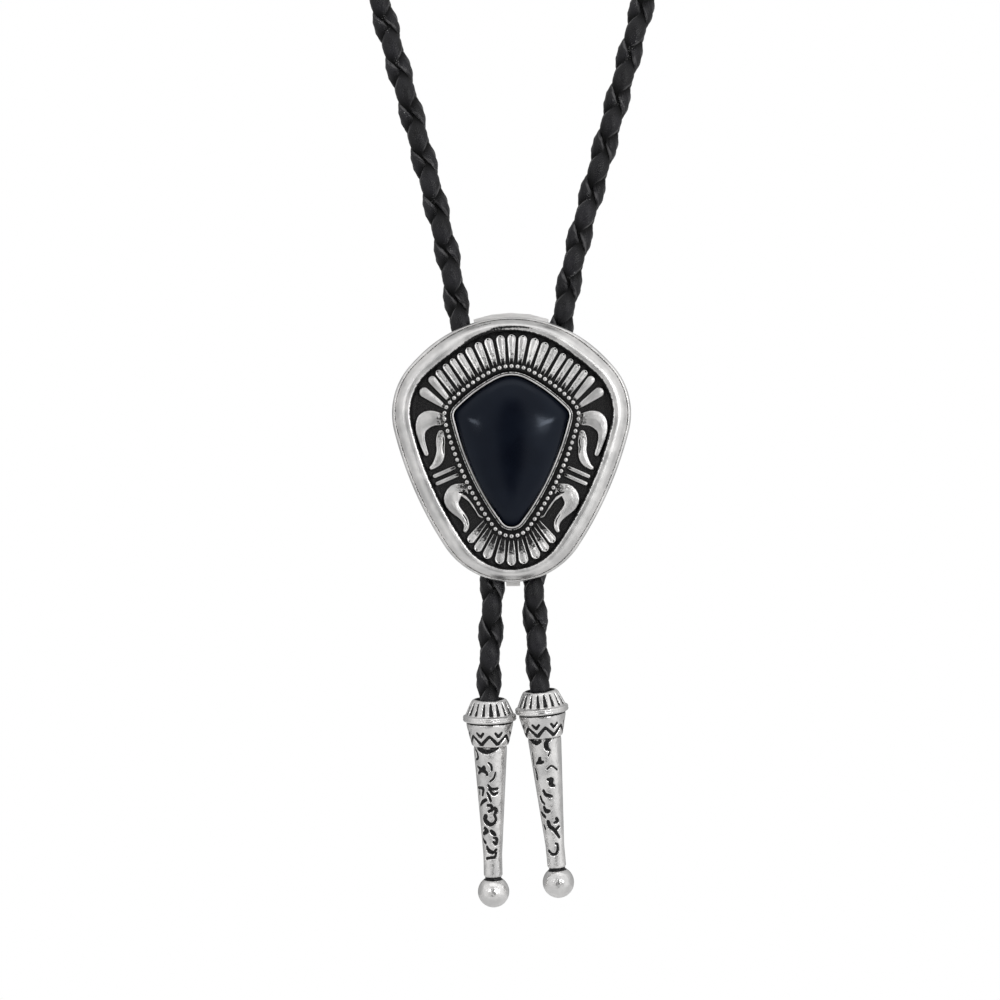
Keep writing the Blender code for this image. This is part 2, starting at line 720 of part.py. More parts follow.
def tip_profile():
    """Half section of a tip as (radius, height), from the socket's floor over the collar to the ball."""
    socket = CORD_RADIUS + GAP
    top = TIP_SOCKET_DEPTH
    ring_top = top - COLLAR_HEIGHT
    ring_low = ring_top - COLLAR_RING
    cup_top = ring_low - GAP
    cup_low = cup_top - CUP_HEIGHT
    ball_middle = top - TIP_LENGTH + BALL_RADIUS
    neck = ball_middle + math.sqrt(BALL_RADIUS ** 2 - NECK_RADIUS ** 2)
    ring_shoulder = COLLAR_RING * (1 - COLLAR_RING_FLAT_SHARE) / 2
    points = [
        (0, 0),
        (socket, 0),
        (socket, top),
        (COLLAR_TOP_RADIUS - GAP, top),
        (COLLAR_TOP_RADIUS, top - GAP),
        (COLLAR_RADIUS - GAP, ring_top),
        (COLLAR_RADIUS, ring_top - ring_shoulder),
        (COLLAR_RADIUS, ring_low + ring_shoulder),
        (CUP_TOP_RADIUS - GAP / 2, ring_low),
        (CUP_TOP_RADIUS, cup_top),
        (CUP_BOTTOM_RADIUS, cup_low),
        (SHAFT_TOP_RADIUS, cup_low - GAP * 2),
        (SHAFT_END_RADIUS, neck + NECK_HEIGHT),
        (NECK_RADIUS, neck + NECK_HEIGHT / 2),
        (NECK_RADIUS, neck),
    ]
    start = math.asin(NECK_RADIUS / BALL_RADIUS)
    for step in range(1, BALL_STEPS):
        turn = start + (math.pi - start) * step / BALL_STEPS
        points.append((BALL_RADIUS * math.sin(turn), ball_middle + BALL_RADIUS * math.cos(turn)))
    points.append((0, ball_middle - BALL_RADIUS))
    return points


def around(radius, height, turn):
    return Vector((radius * math.cos(turn), radius * math.sin(turn), height))


def rib_grooves(bm):
    """Bars laid down the collar's cone, one between each pair of ribs."""
    for number in range(COLLAR_RIBS):
        turn = 2 * math.pi * number / COLLAR_RIBS
        rings = []
        for row in RIB_GROOVE_SECTION:
            radius = COLLAR_TOP_RADIUS + (COLLAR_RADIUS - GAP - COLLAR_TOP_RADIUS) * row["down"]
            height = TIP_SOCKET_DEPTH - COLLAR_HEIGHT * row["down"]
            half = RIB_GROOVE_WIDTH * row["width"] / 2
            inside = radius - RIB_GROOVE_DEPTH
            outside = radius + RIB_GROOVE_DEPTH
            rings.append([
                Vector((inside, -half * RIB_GROOVE_FLOOR_SHARE, height)),
                Vector((inside, half * RIB_GROOVE_FLOOR_SHARE, height)),
                Vector((outside, half, height + RIB_GROOVE_DEPTH)),
                Vector((outside, -half, height + RIB_GROOVE_DEPTH)),
            ])
        spin = Matrix.Rotation(turn, 3, "Z")
        loft(bm, [[spin @ point for point in ring] for ring in rings])


def zigzag_groove(bm):
    """A closed zigzag band sunk round the cup."""
    ring_low = TIP_SOCKET_DEPTH - COLLAR_HEIGHT - COLLAR_RING - GAP
    sections = []
    steps = 2 * ZIGZAG_TEETH
    for number in range(steps):
        turn = 2 * math.pi * number / steps
        down = ZIGZAG_HIGH_SHARE if number % 2 else ZIGZAG_LOW_SHARE
        radius = CUP_TOP_RADIUS + (CUP_BOTTOM_RADIUS - CUP_TOP_RADIUS) * down
        height = ring_low - CUP_HEIGHT * down
        half = ZIGZAG_WIDTH / 2
        sections.append([
            around(radius - ZIGZAG_DEPTH, height - half, turn),
            around(radius + ZIGZAG_DEPTH * 2, height - half, turn),
            around(radius + ZIGZAG_DEPTH * 2, height + half, turn),
            around(radius - ZIGZAG_DEPTH, height + half, turn),
        ])
    loops = [[bm.verts.new(point) for point in section] for section in sections]
    faces = []
    for near, far in zip(loops, loops[1:] + loops[:1]):
        for index in range(4):
            after = (index + 1) % 4
            faces.append(bm.faces.new((near[index], near[after], far[after], far[index])))
    bmesh.ops.triangulate(bm, faces=faces)
    bmesh.ops.recalc_face_normals(bm, faces=bm.faces)


def shaft_span():
    """Heights of the shaft's two ends."""
    top = TIP_SOCKET_DEPTH - COLLAR_HEIGHT - COLLAR_RING - CUP_HEIGHT - GAP * 3
    ball_middle = TIP_SOCKET_DEPTH - TIP_LENGTH + BALL_RADIUS
    low = ball_middle + math.sqrt(BALL_RADIUS ** 2 - NECK_RADIUS ** 2) + NECK_HEIGHT
    return top, low


def shaft_scrolls(bm):
    """Comma-like scrolls sunk in the shaft, each ring turned and mirrored against the one above."""
    top, low = shaft_span()
    spacing = (top - low) / SCROLL_RINGS
    for ring in range(SCROLL_RINGS):
        flip = 1 if ring % 2 else -1
        start = top - spacing * ring - (spacing - SCROLL_LENGTH) / 2
        for number in range(SCROLLS_ROUND):
            turn = 2 * math.pi * (number + 0.5 * (ring % 2)) / SCROLLS_ROUND
            rings = []
            for row in SCROLL_SPINE:
                height = start - row["down"] * SCROLL_LENGTH
                share = (top - height) / (top - low)
                radius = SHAFT_TOP_RADIUS + (SHAFT_END_RADIUS - SHAFT_TOP_RADIUS) * share
                middle = turn + flip * row["out"] * SCROLL_LENGTH / radius
                half = row["half"] * SCROLL_HALF_WIDTH / radius
                inside = radius - SCROLL_DEPTH
                outside = radius + SCROLL_DEPTH * 2
                rings.append([
                    around(inside, height, middle - half),
                    around(outside, height, middle - half),
                    around(outside, height, middle + half),
                    around(inside, height, middle + half),
                ])
            faces = loft(bm, rings)
            bmesh.ops.triangulate(bm, faces=faces)


def make_tip(name, end, before, parts, cutters, material):
    """One tip on the cord's end, with its axis in line with the cord's last stretch."""
    bm = bmesh.new()
    verts = [bm.verts.new((radius, 0, height)) for radius, height in tip_profile()]
    for near, far in zip(verts, verts[1:]):
        bm.edges.new((near, far))
    tip = new_object(name, bm, parts, material)
    turned = tip.modifiers.new("Screw", "SCREW")
    turned.axis = "Z"
    turned.steps = TIP_SIDES
    turned.render_steps = TIP_SIDES
    turned.use_merge_vertices = True
    turned.merge_threshold = 0.00001
    turned.use_smooth_shade = True
    axis = (before - end).normalized()
    place = Matrix.Translation(end - axis * GAP) @ axis.to_track_quat("Z", "Y").to_matrix().to_4x4()
    tip.matrix_world = place
    grooves = bmesh.new()
    rib_grooves(grooves)
    zigzag_groove(grooves)
    shaft_scrolls(grooves)
    tool = new_cutter(name + "_grooves", grooves, cutters)
    tool.matrix_world = place
    add_boolean(tip, tool, "DIFFERENCE")


ROUTE = [Vector(point) for point in CORD_ROUTE]
RUNS = {side: cord_run(side) for side in (-1, 1)}


def main():
    clear_objects()
    parts = new_collection("bolo_tie")
    cutters = new_collection("cutters")
    silver = new_material("antique_silver", (0.72, 0.71, 0.70), 0.25, 1.0)
    plate = new_material("plain_steel", (0.55, 0.55, 0.56), 0.35, 1.0)
    black_stone = new_material("black_stone", (0.006, 0.008, 0.016), 0.08, 0.0)
    leather = new_material("black_leather", (0.022, 0.021, 0.024), 0.5, 0.0)
    make_slide(parts, cutters, silver)
    make_stone(parts, black_stone)
    make_clip(parts, plate)
    make_cord(parts, leather)
    make_tip("tip_left", ROUTE[0], ROUTE[1], parts, cutters, silver)
    make_tip("tip_right", ROUTE[-1], ROUTE[-2], parts, cutters, silver)


main()
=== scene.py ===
"""Looks of a bolo tie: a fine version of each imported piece, its finish, the light and the camera.

Metres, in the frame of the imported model: +Z up, the front faces -Y, the origin is at the nape.
Points of the slide's face are (x, z) from the middle of the slide, with a height off its flat back.
"""
import math

import bpy
import numpy as np
from mathutils import Matrix, Vector


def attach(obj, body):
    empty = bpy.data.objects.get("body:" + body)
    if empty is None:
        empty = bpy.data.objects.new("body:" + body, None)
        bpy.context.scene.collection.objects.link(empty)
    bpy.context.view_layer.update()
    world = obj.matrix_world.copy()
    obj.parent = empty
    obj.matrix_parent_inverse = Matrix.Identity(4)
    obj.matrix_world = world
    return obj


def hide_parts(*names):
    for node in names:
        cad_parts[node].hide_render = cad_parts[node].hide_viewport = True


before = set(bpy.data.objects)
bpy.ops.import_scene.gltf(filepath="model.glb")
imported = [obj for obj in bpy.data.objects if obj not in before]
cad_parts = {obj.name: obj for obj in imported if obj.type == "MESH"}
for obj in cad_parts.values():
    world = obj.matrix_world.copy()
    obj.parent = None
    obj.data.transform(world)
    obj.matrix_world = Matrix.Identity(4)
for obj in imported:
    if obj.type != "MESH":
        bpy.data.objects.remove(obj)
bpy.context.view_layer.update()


def rows_of(names, rows):
    """Rows of values, each value under the name of its column."""
    return [dict(zip(names.split(), row)) for row in rows]


# Camera: level with the photo's middle, at the distance that shows the tips a little from above
PHOTO_WIDTH = 0.185
PHOTO_MIDDLE_X = -0.00213
PHOTO_MIDDLE_Z = -0.29632
PHOTO_PLANE_Y = -0.1235
CAMERA_DISTANCE = 0.45
SENSOR_WIDTH = 36

# Clearance between pieces that touch
GAP = 0.0003

# Cord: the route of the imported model, from the left tip round the neck to the right tip
CORD_RADIUS = 0.00225
NECK_HALF = [
    (0.0205, -0.0031, -0.001), (0.0415, -0.0135, -0.005), (0.0605, -0.034, -0.014),
    (0.066, -0.06, -0.027), (0.0635, -0.08, -0.046), (0.0585, -0.0935, -0.071),
    (0.051, -0.103, -0.102), (0.042, -0.1095, -0.136), (0.033, -0.114, -0.17),
]
CORD_ROUTE = [
    (-0.00396, -0.1195, -0.3412), (-0.00413, -0.12, -0.3335), (-0.00418, -0.12, -0.3292),
    (-0.00398, -0.12, -0.3241), (-0.00355, -0.12, -0.3117), (-0.0043, -0.12, -0.3),
    (-0.0058, -0.12, -0.287), (-0.0076, -0.12, -0.275), (-0.00975, -0.12, -0.2623),
    (-0.0119, -0.12, -0.2506), (-0.01785, -0.1193, -0.2271), (-0.0244, -0.1176, -0.2038),
    *((-x, y, z) for x, y, z in reversed(NECK_HALF)),
    (0, 0, 0),
    *NECK_HALF,
    (0.0245, -0.1176, -0.2038), (0.0183, -0.1193, -0.2271), (0.0119, -0.12, -0.2506),
    (0.0096, -0.12, -0.2623), (0.0076, -0.12, -0.275), (0.0059, -0.12, -0.287),
    (0.00465, -0.12, -0.3), (0.00418, -0.12, -0.3117), (0.0048, -0.12, -0.3241),
    (0.00533, -0.12, -0.3319), (0.00607, -0.1195, -0.33955),
]
ROUTE_SPANS = 24

# Braid: four flat leather strands, two wound each way, each over and under the others in turn.
# STRAND_START is where on the cord the strands cross at the front.
STRAND_TURN = 0.017812
STRAND_START = 0.11383
STRAND_WIDTH = 0.0046
STRAND_THICKNESS = 0.001
STRAND_STEP = 0.0004
STRAND_SIDES = 14
STRAND_WEAVE = 0.0005
STRAND_EDGE_DROP = 0.00022
STRAND_SPREAD = 0.0002
STRAND_FLATNESS = 0.8
STRAND_SQUARENESS = 0.7
STRAND_DROP_POWER = 2.5
CORE_RADIUS = 0.00125
CORE_SIDES = 12
CORE_NUMBER = 4

# Slide: its place and the outlines of its body, its sunk face and the stone
SLIDE_BACK_Y = -0.12255
SLIDE_MIDDLE_Z = -0.287
SLIDE_OUTLINE, FACE_OUTLINE, STONE_OUTLINE = rows_of(
    "half_width top bottom widest corner crown shoulder side toe", [
        (0.0221, 0.0245, -0.0245, 0.0067, 0.0133, 0.9853, 1.474, 2.997, 0.6062),
        (0.0185, 0.0218, -0.022, 0.0067, 0.01, 0.7793, 3.402, 3.133, 0.4675),
        (0.0104, 0.0134, -0.014, 0.0062, 0.0016, 0.495, 3.444, 4.494, 0.1502),
    ])
RIM_HEIGHT = 0.0036
FACE_HEIGHT = 0.0019
BACK_CHAMFER = 0.00025
BACK_OXIDE = 0.1
RIM_LIP_SHARE = 0.74
RIM_LIP_OXIDE = 0.9

# Section across the rim: a thin flange, a fine groove, then a wide dome with a flat top and a short
# inner wall
RIM_COLUMNS = 60
RIM_SECTION = rows_of("across height oxide", [
    (0, 0.36, 0.28), (0.03, 0.5, 0.2), (0.09, 0.585, 0.14), (0.145, 0.6, 0.26), (0.17, 0.565, 0.54),
    (0.2, 0.62, 0.26), (0.28, 0.72, 0.14), (0.4, 0.86, 0.04), (0.54, 0.965, 0), (0.67, 1, 0),
    (0.78, 1, 0.1), (0.88, 0.99, 0.32), (0.95, 0.96, 0.74), (0.98, 0.91, 1), (1, 0.77, 1),
])
# Oxide left on the rim's top: across is where on the rim, out is metres from the middle line
RIM_SMUDGES = rows_of("across spread out reach depth", [
    (0.72, 0.09, -0.001, 0.0036, 0.85), (0.68, 0.06, 0.0026, 0.0015, 0.6),
    (0.88, 0.09, -0.0054, 0.0032, 0.72), (0.34, 0.06, -0.0049, 0.002, 0.5),
])

# Bezel: a dull line, a dark groove and a bright wire beside the stone, measured off its outline
BEZEL_SECTION = rows_of("out height oxide", [
    (0.001, 0, 1), (0.00097, 0.0003, 0.9), (0.00088, 0.00046, 0.46), (0.00078, 0.0005, 0.46),
    (0.0007, 0.00052, 0.85), (0.00062, 0.0006, 0.95), (0.00058, 0.00088, 0.2), (0.0005, 0.00106, 0),
    (0.0003, 0.0011, 0), (0.00022, 0.00098, 0.05), (0.00018, 0.0002, 1),
])
FLOOR_ROWS = 10

# Stone
SEAT_HEIGHT = 0.0002
STONE_GIRDLE = 0.0007
STONE_DOME = 0.003
STONE_PEAK_Z = 0.0022
STONE_ROWS = 28
STONE_LAST_TURN = 88
STONE_ROUNDING = 0.9
STONE_ROUND_SHARE = 0.96

# Granules round the bezel
GRANULE_OFFSET = 0.002
GRANULE_RADIUS = 0.0004
GRANULE_PITCH = 0.001125
GRANULE_LIFT = 0.00026
GRANULE_FLATNESS = 0.55
GRANULE_SIDES = 20
GRANULE_ROWS = 12
GRANULE_FOOT_RAMP = (-0.3, 0.2)
# Painted dark reflection in the middle of each granule's top: where it starts and ends, and how much oxide
# it adds
GRANULE_PAINTED_REFLECTION_RAMP = (-0.45, -0.2)
GRANULE_PAINTED_REFLECTION_OXIDE = 0.6

# Raised rays
RELIEF_HEIGHT = 0.0008
RAY_PITCH = 0.00152
RAY_FOOT_OFFSET = 0.0025
RAY_END_GAP = 0.0005
RAY_FOOT_HALF_WIDTH = 0.00046
RAY_END_SHARE = 0.385
TOP_RAY_TILTS = [0, 7, 16, 22, 27.5, 31.7, 33.5, 34.8, 37.5, 40, 55]
BOTTOM_RAY_TILTS = [0, 10, 23, 32, 39]
RAY_BROAD_HALF_WIDTHS = {9: 0.00082, 10: 0.00098}
RAY_DOT_RADIUS = 0.00017
RAY_DOT_BACK = 0.00036
RAY_DOT_END = -9

# Along a ray from its foot: how wide it has grown, how dark its middle is and how far all of it fades
TOP_RAY_ROWS = rows_of("along grown dark fade", [
    (0, 0, 0.4, 0.42), (0.12, 0.14, 0.34, 0.12), (0.3, 0.36, 0.3, 0), (0.6, 0.66, 0.24, 0),
    (0.85, 0.9, 0.18, 0), (1, 1, 0.1, 0),
])
BOTTOM_RAY_ROWS = rows_of("along grown dark fade", [
    (0, 0, 0.6, 0.45), (0.16, 0.18, 0.56, 0.16), (0.4, 0.46, 0.5, 0), (0.68, 0.74, 0.36, 0),
    (0.88, 0.92, 0.14, 0), (1, 1, 0.05, 0),
])
RAY_HOLLOW = 0.5
BROAD_RAY_HOLLOW = 0.1
BROAD_RAY_DARK = 0.5

# Raised hooks, scrolls and bars of one side, in millimetres from the middle of the slide. Each row is
# (out, up, half width, hollow, dark, fade): hollow sinks the middle, dark blackens it, and fade
# blackens the whole width.
UPPER_HOOK = [
    (13.3, 5.6, 1.22, 0, 0.38, 0.16), (14.2, 5.72, 1.4, 0, 0.28, 0.04),
    (15.1, 5.65, 1.58, 0, 0.12, 0), (16, 5.2, 1.62, 0, 0.04, 0), (16.72, 3.8, 1.14, 0, 0, 0),
    (16.66, 2.2, 0.76, 0.1, 0.03, 0), (16.25, 0.7, 0.6, 0.3, 0.08, 0),
    (15.72, -0.8, 0.48, 0.3, 0.06, 0),
]
UPPER_SCROLL = [
    (13.02, 2.95, 0.66, 0.1, 0.34, 0.14), (13.08, 2.2, 0.86, 0.1, 0.38, 0.04),
    (13.12, 1.1, 0.9, 0.1, 0.34, 0), (13.1, 0, 0.82, 0, 0.28, 0), (13.18, -1.2, 0.92, 0, 0.22, 0),
    (13.6, -2.2, 0.86, 0, 0.12, 0), (14.3, -3, 0.58, 0, 0, 0), (14.85, -3.4, 0.42, 0, 0, 0),
]
UPPER_BAR = [
    (10.6, -3.38, 0.36, 0.4, 0.4, 0.32), (11.6, -3.8, 0.41, 0.2, 0.2, 0.05),
    (14.22, -4.95, 0.43, 0, 0.04, 0),
]
LOWER_BAR = [
    (9.95, -4.7, 0.36, 0.4, 0.42, 0.36), (10.9, -5.1, 0.41, 0.2, 0.22, 0.06),
    (13.72, -6.32, 0.43, 0, 0.04, 0),
]
LOWER_HOOK = [
    (9, -7.1, 0.92, 0, 0.38, 0.2), (10.15, -7.55, 1.28, 0, 0.32, 0.06),
    (10.75, -8.35, 1.56, 0, 0.2, 0), (11.1, -9.25, 1.52, 0, 0.06, 0),
    (10.9, -10.25, 1.28, 0, 0.02, 0), (10.2, -11.2, 1.02, 0, 0.08, 0),
    (9.2, -12.2, 0.8, 0.1, 0.18, 0), (8.45, -13.3, 0.64, 0.3, 0.2, 0),
    (8.32, -14.3, 0.54, 0.2, 0.1, 0), (8.58, -14.98, 0.42, 0, 0, 0),
]
INNER_ARM = [
    (9.35, -8.3, 0.24, 0, 0, 0.24), (8.45, -8.85, 0.34, 0, 0.1, 0.12),
    (7.75, -9.55, 0.22, 0, 0, 0.05), (7.2, -10.3, 0.26, 0, 0.06, 0.1),
    (6.5, -11.4, 0.15, 0, 0, 0.1), (5.95, -12.25, 0.22, 0, 0.05, 0.12),
    (5.35, -12.5, 0.17, 0, 0, 0),
]
SPUR = [
    (8.85, -6.55, 0.16, 0, 0, 0.25), (8.35, -7.15, 0.27, 0, 0.1, 0.16),
    (8.05, -8.05, 0.2, 0, 0, 0.22),
]
MOTIFS = [UPPER_HOOK, UPPER_SCROLL, UPPER_BAR, LOWER_BAR, LOWER_HOOK, INNER_ARM, SPUR]
MOTIF_ROWS = 20

# Black lines cut into the hooks and scrolls, as (out, up, half width) in millimetres
CUTS = [
    [(12.62, 2.2, 0.06), (12.48, 1.3, 0.11), (12.62, 0.3, 0.1), (12.5, -0.7, 0.06)],
    [(9.7, -7.9, 0.07), (9.1, -8, 0.12), (8.6, -7.6, 0.08)],
    [(8.95, -12, 0.05), (8.28, -13.1, 0.08), (8.15, -13.9, 0.05)],
]

# Section of a raised form from its edge inwards, in millimetres
RELIEF_SECTION = rows_of("inside rise oxide", [
    (0, -0.3, 1), (0.02, 0.5, 0.8), (0.06, 0.76, 0.22), (0.11, 0.91, 0), (0.24, 1, 0),
    (0.7, 1.07, 0), (1.7, 1.15, 0),
])
HOLLOW_DEPTH = 0.42
HOLLOW_OXIDE = 0.3
CUT_DEPTH = 0.32
DOT_DEPTH = 0.3
DOT_OXIDE = 0.8
RELIEF_SINK = 0.7

# Where a change of the relief starts and ends, in millimetres inside its stroke
MIDDLE_RAMP = (0.1, 0.26)
HOLLOW_RAMP = (0.12, 0.34)
CUT_RAMP = (-0.05, 0.08)
DOT_RAMP = (-0.05, 0.09)
SINK_RAMP = (-0.6, 0.1)

# Grid of the relief's sheet: its cell in millimetres, and how many cells inside and outside an outline
# its points are drawn onto it
RELIEF_CELL = 0.085
EDGE_INSIDE = 0.3
EDGE_OUTSIDE = 1.6
EDGE_MIN_SLOPE = 0.5
GRANULE_RING_STEP = 8

# Tips: heights are along the tip's axis, from the floor of its socket
TIP_LENGTH = 0.0393
TIP_SOCKET_DEPTH = 0.0081
TIP_SIDES = 200
TIP_ROW_STEP = 0.00014
TIP_RADII = {
    "socket": CORD_RADIUS + GAP, "collar_top": 0.0035, "collar": 0.005, "cup_top": 0.00435,
    "cup_low": 0.0035, "shaft_top": 0.0031, "shaft_end": 0.00175, "neck": 0.0015,
}
COLLAR_HEIGHT = 0.003
COLLAR_RING = 0.001
COLLAR_RIBS = 18
RIB_GROOVE_DEPTH = 0.00032
RIB_WIDTH = 0.54
RIB_WIDTH_CHANGE = 0.14
RIB_WIDTH_WAVES = 5
RIB_TOP_SHARE = 0.45
RIB_RAMP = (-0.08, 0.14)
RIB_FOOT_RAMP = (0.0001, 0.0005)
RIB_HEAD_RAMP = (0.0002, 0.0008)
CUP_HEIGHT = 0.0042
ZIGZAG_TEETH = 7
NECK_HEIGHT = 0.0005
BALL_RADIUS = 0.00294
BALL_ROWS = 26
BALL_TOP_OXIDE = 0.6
BALL_TOP_TURN = 0.12
PIT_DEPTH = 0.00022
CUP_ZIGZAG = [(-0.5, 2.2, 0.29), (0, 3.85, 0.37), (0.5, 2.2, 0.29)]
CUP_MARK = [(-0.18, 1.6, 0.24), (0, 2.3, 0.31), (0.18, 1.6, 0.24)]
CUP_GIRTH = 1.1
MARK_SPREAD = 0.1
MARK_RAMP = (-0.06, 0.09)
CUP_MARGIN = 0.0001
SHAFT_MARGIN = 0.0002
ROLL_LIMIT = 0.97
CARVED_OXIDE = 1.05

# Section of a tip from its socket to its neck: a named radius and height, each with what is added to
# it in millimetres
TIP_SECTION = [
    ("socket", 0, "ring_top", 0, 1), ("socket", 0, "top", -0.3, 1), ("socket", 0.15, "top", 0, 0.9),
    ("collar_top", -0.6, "top", 0, 0.15), ("collar_top", -0.3, "top", -0.15, 0),
    ("collar_top", 0, "top", -0.6, 0), ("collar", -0.5, "ring_top", 0.2, 0.1),
    ("collar", -0.4, "ring_top", 0.1, 0.5), ("collar", -0.1, "ring", 0.45, 0),
    ("collar", 0, "ring", 0.2, 0), ("collar", -0.1, "ring", 0, 0.4), ("collar", 0, "ring", -0.2, 0),
    ("collar", -0.1, "ring", -0.45, 0), ("collar", -0.4, "ring_low", -0.1, 0.7),
    ("cup_top", -0.2, "ring_low", -0.2, 1.1), ("cup_top", 0, "cup_top", -0.1, 0.5),
    ("cup_top", 0, "cup_top", -0.5, 0), ("cup_low", 0.2, "cup_low", 0.9, 0),
    ("cup_low", 0, "cup_low", 0.2, 0.05), ("cup_low", -0.1, "cup_low", 0, 0.3),
    ("shaft_top", -0.1, "shaft_top", 0.3, 0.55), ("shaft_top", 0, "shaft_top", 0, 0.2),
    ("shaft_top", 0, "shaft_top", -0.3, 0.25), ("shaft_end", 0, "neck_top", 4, 0.22),
    ("shaft_end", 0, "neck_top", 0.2, 0), ("shaft_end", -0.1, "neck_top", 0, 0.3),
    ("neck", 0, "neck_top", -0.25, 1.1), ("neck", 0, "neck", 0, 1.1),
]

# Sunk scrolls as the front shows them: rows of (out, down, half width) in millimetres from where the
# shaft's axis leaves the cup. The back repeats them.
LEFT_SCROLLS = [
    [(-2.4, 0.4, 0.2), (-1.5, 0.8, 0.36), (-0.5, 0.95, 0.34), (0.6, 0.6, 0.3), (1.4, 0.3, 0.14)],
    [(-2.8, 0.7, 0.14), (-2.5, 1.4, 0.16), (-2.4, 2.2, 0.2), (-2.7, 2.6, 0.14)],
    [(-0.4, 3, 0.1), (0.1, 3.6, 0.16), (0.2, 4.5, 0.1)],
    [(-2.4, 5.2, 0.16), (-1.9, 4.6, 0.26), (-1.4, 4.2, 0.4), (-1.3, 3.8, 0.2)],
    [(-2.5, 3.9, 0.14), (-1.8, 4.4, 0.3), (-1, 4.8, 0.24), (-0.7, 5.3, 0.16)],
    [(0.9, 4.9, 0.08), (0.6, 5.9, 0.12), (-0.2, 6.6, 0.08)],
    [(-0.6, 7.3, 0.14), (0.1, 8, 0.2), (1.2, 8, 0.16)],
    [(-2.6, 8, 0.14), (-1.6, 7.9, 0.2), (-1.7, 9.2, 0.16)],
    [(-2.4, 8.1, 0.1), (-2.3, 9.1, 0.14)],
    [(-0.4, 8.1, 0.14), (0.4, 9, 0.2), (1.2, 8.8, 0.14)],
    [(-0.8, 8.7, 0.1), (-0.5, 9.3, 0.2), (-0.1, 10.3, 0.14)],
    [(-1.1, 10.1, 0.26), (-1.7, 10.5, 0.26), (-2.2, 11.3, 0.16)],
    [(-0.7, 11.1, 0.2), (-0.1, 11.2, 0.24), (0.1, 11.9, 0.24), (-0.6, 12.3, 0.18)],
    [(0.6, 11.6, 0.2), (0.9, 12.2, 0.32), (0.6, 12.7, 0.16)],
    [(-1.2, 13.2, 0.36), (-1.4, 13.8, 0.38), (-0.7, 14.6, 0.36), (0.1, 14.7, 0.24), (0.8, 13.9, 0.18),
     (0.5, 12.9, 0.16)],
    [(-1.4, 15.6, 0.32), (-1, 16.1, 0.3), (-1.7, 16.6, 0.26)],
    [(-0.2, 16, 0.24), (0.2, 16.4, 0.32), (0.6, 16.8, 0.16)],
    [(0.3, 17.3, 0.16), (0.9, 17.6, 0.24), (0.7, 18.5, 0.24), (0.2, 18.1, 0.14)],
    [(-1.9, 17.7, 0.24), (-1.4, 18.3, 0.24)],
    [(-1.1, 19.1, 0.2), (-0.7, 19.8, 0.32), (0.2, 20.1, 0.24), (0.7, 19.6, 0.18)],
    [(0.7, 20.3, 0.16), (0.4, 21, 0.18), (-0.4, 21.1, 0.18), (-1.2, 21.3, 0.2)],
]
RIGHT_SCROLLS = [
    [(-2.8, 0.2, 0.2), (-1.8, 0.9, 0.3), (-0.9, 0.6, 0.2)],
    [(0.9, 0.3, 0.2), (0.2, 1, 0.37), (0.2, 1.9, 0.37), (0.7, 2.4, 0.16)],
    [(-2.6, 2.9, 0.14), (-2.6, 4.2, 0.16), (-2.6, 5, 0.14)],
    [(0.7, 2.9, 0.08), (0.4, 3.4, 0.08)],
    [(-1.3, 3.8, 0.24), (-1.4, 4.5, 0.37), (-0.8, 4.5, 0.2)],
    [(-2, 4.8, 0.14), (-1.5, 4.5, 0.32)],
    [(-0.1, 5.9, 0.08), (0.8, 5.4, 0.08), (1.8, 6.3, 0.08)],
    [(-2.4, 5.8, 0.14), (-2.2, 6.7, 0.16), (-2.2, 7.8, 0.2)],
    [(-0.1, 7.9, 0.24), (0.6, 8, 0.34), (0.3, 8.8, 0.37), (0.9, 9.2, 0.2)],
    [(-1.2, 10, 0.2), (-0.9, 10.7, 0.24), (-0.2, 11, 0.27), (0.3, 11.2, 0.16)],
    [(-1.9, 11.2, 0.2), (-1.7, 12, 0.2), (-1.3, 12.5, 0.14)],
    [(-1.4, 13.2, 0.24), (-1.1, 13.9, 0.37), (-0.5, 13.9, 0.24)],
    [(-2.1, 14.2, 0.2), (-1.8, 14.6, 0.32), (-1.4, 15, 0.2)],
    [(0.8, 15.5, 0.24), (1, 16, 0.2), (0.3, 16.2, 0.14)],
    [(-0.9, 16, 0.32), (-0.7, 16.8, 0.34), (-0.1, 17.3, 0.3), (0.4, 18, 0.26), (1, 19.1, 0.16)],
    [(-1.8, 16.7, 0.2), (-1.6, 17.3, 0.18)],
    [(1.1, 17.1, 0.2), (0.4, 17.6, 0.2)],
    [(-1.3, 21.6, 0.24), (-0.7, 22.2, 0.2), (0.1, 22.1, 0.2), (0.5, 21.3, 0.2), (0.5, 20.4, 0.16),
     (0.2, 20.2, 0.14)],
]
TIPS = rows_of("name node end before scrolls turned", [
    ("tip_left_cast", "tip_left", 0, 1, LEFT_SCROLLS, 24),
    ("tip_right_cast", "tip_right", -1, -2, RIGHT_SCROLLS, 30),
])

# Colours
BRIGHT_SILVER = (0.86, 0.85, 0.84, 1)
SOFT_SILVER = (0.66, 0.655, 0.65, 1)
OXIDE_BLACK = (0.012, 0.012, 0.013, 1)
OXIDE_GREY = (0.095, 0.094, 0.093, 1)
STONE_BLACK = (0.0026, 0.0038, 0.008, 1)
STONE_BLUE = (0.0042, 0.0062, 0.012, 1)
STONE_SHEEN = (0.74, 0.84, 1, 1)
# Painted shade: near black where a strand dives under the others, and over the whole core
LEATHER_PAINTED_SHADE = (0.0008, 0.0008, 0.0009, 1)
LEATHER_BLACK = (0.0022, 0.0021, 0.003, 1)
LEATHER_GREY = (0.01, 0.0096, 0.013, 1)
LEATHER_WORN = (0.105, 0.103, 0.106, 1)
LEATHER_SCUFF = (0.3, 0.3, 0.3, 1)
CLIP_DARK = (0.78, 0.77, 0.76, 1)
CLIP_BRIGHT = (0.9, 0.89, 0.88, 1)
FLOOR_GREY = (0.86, 0.86, 0.86, 1)
BACKGROUND_WHITE = (1, 1, 1, 1)

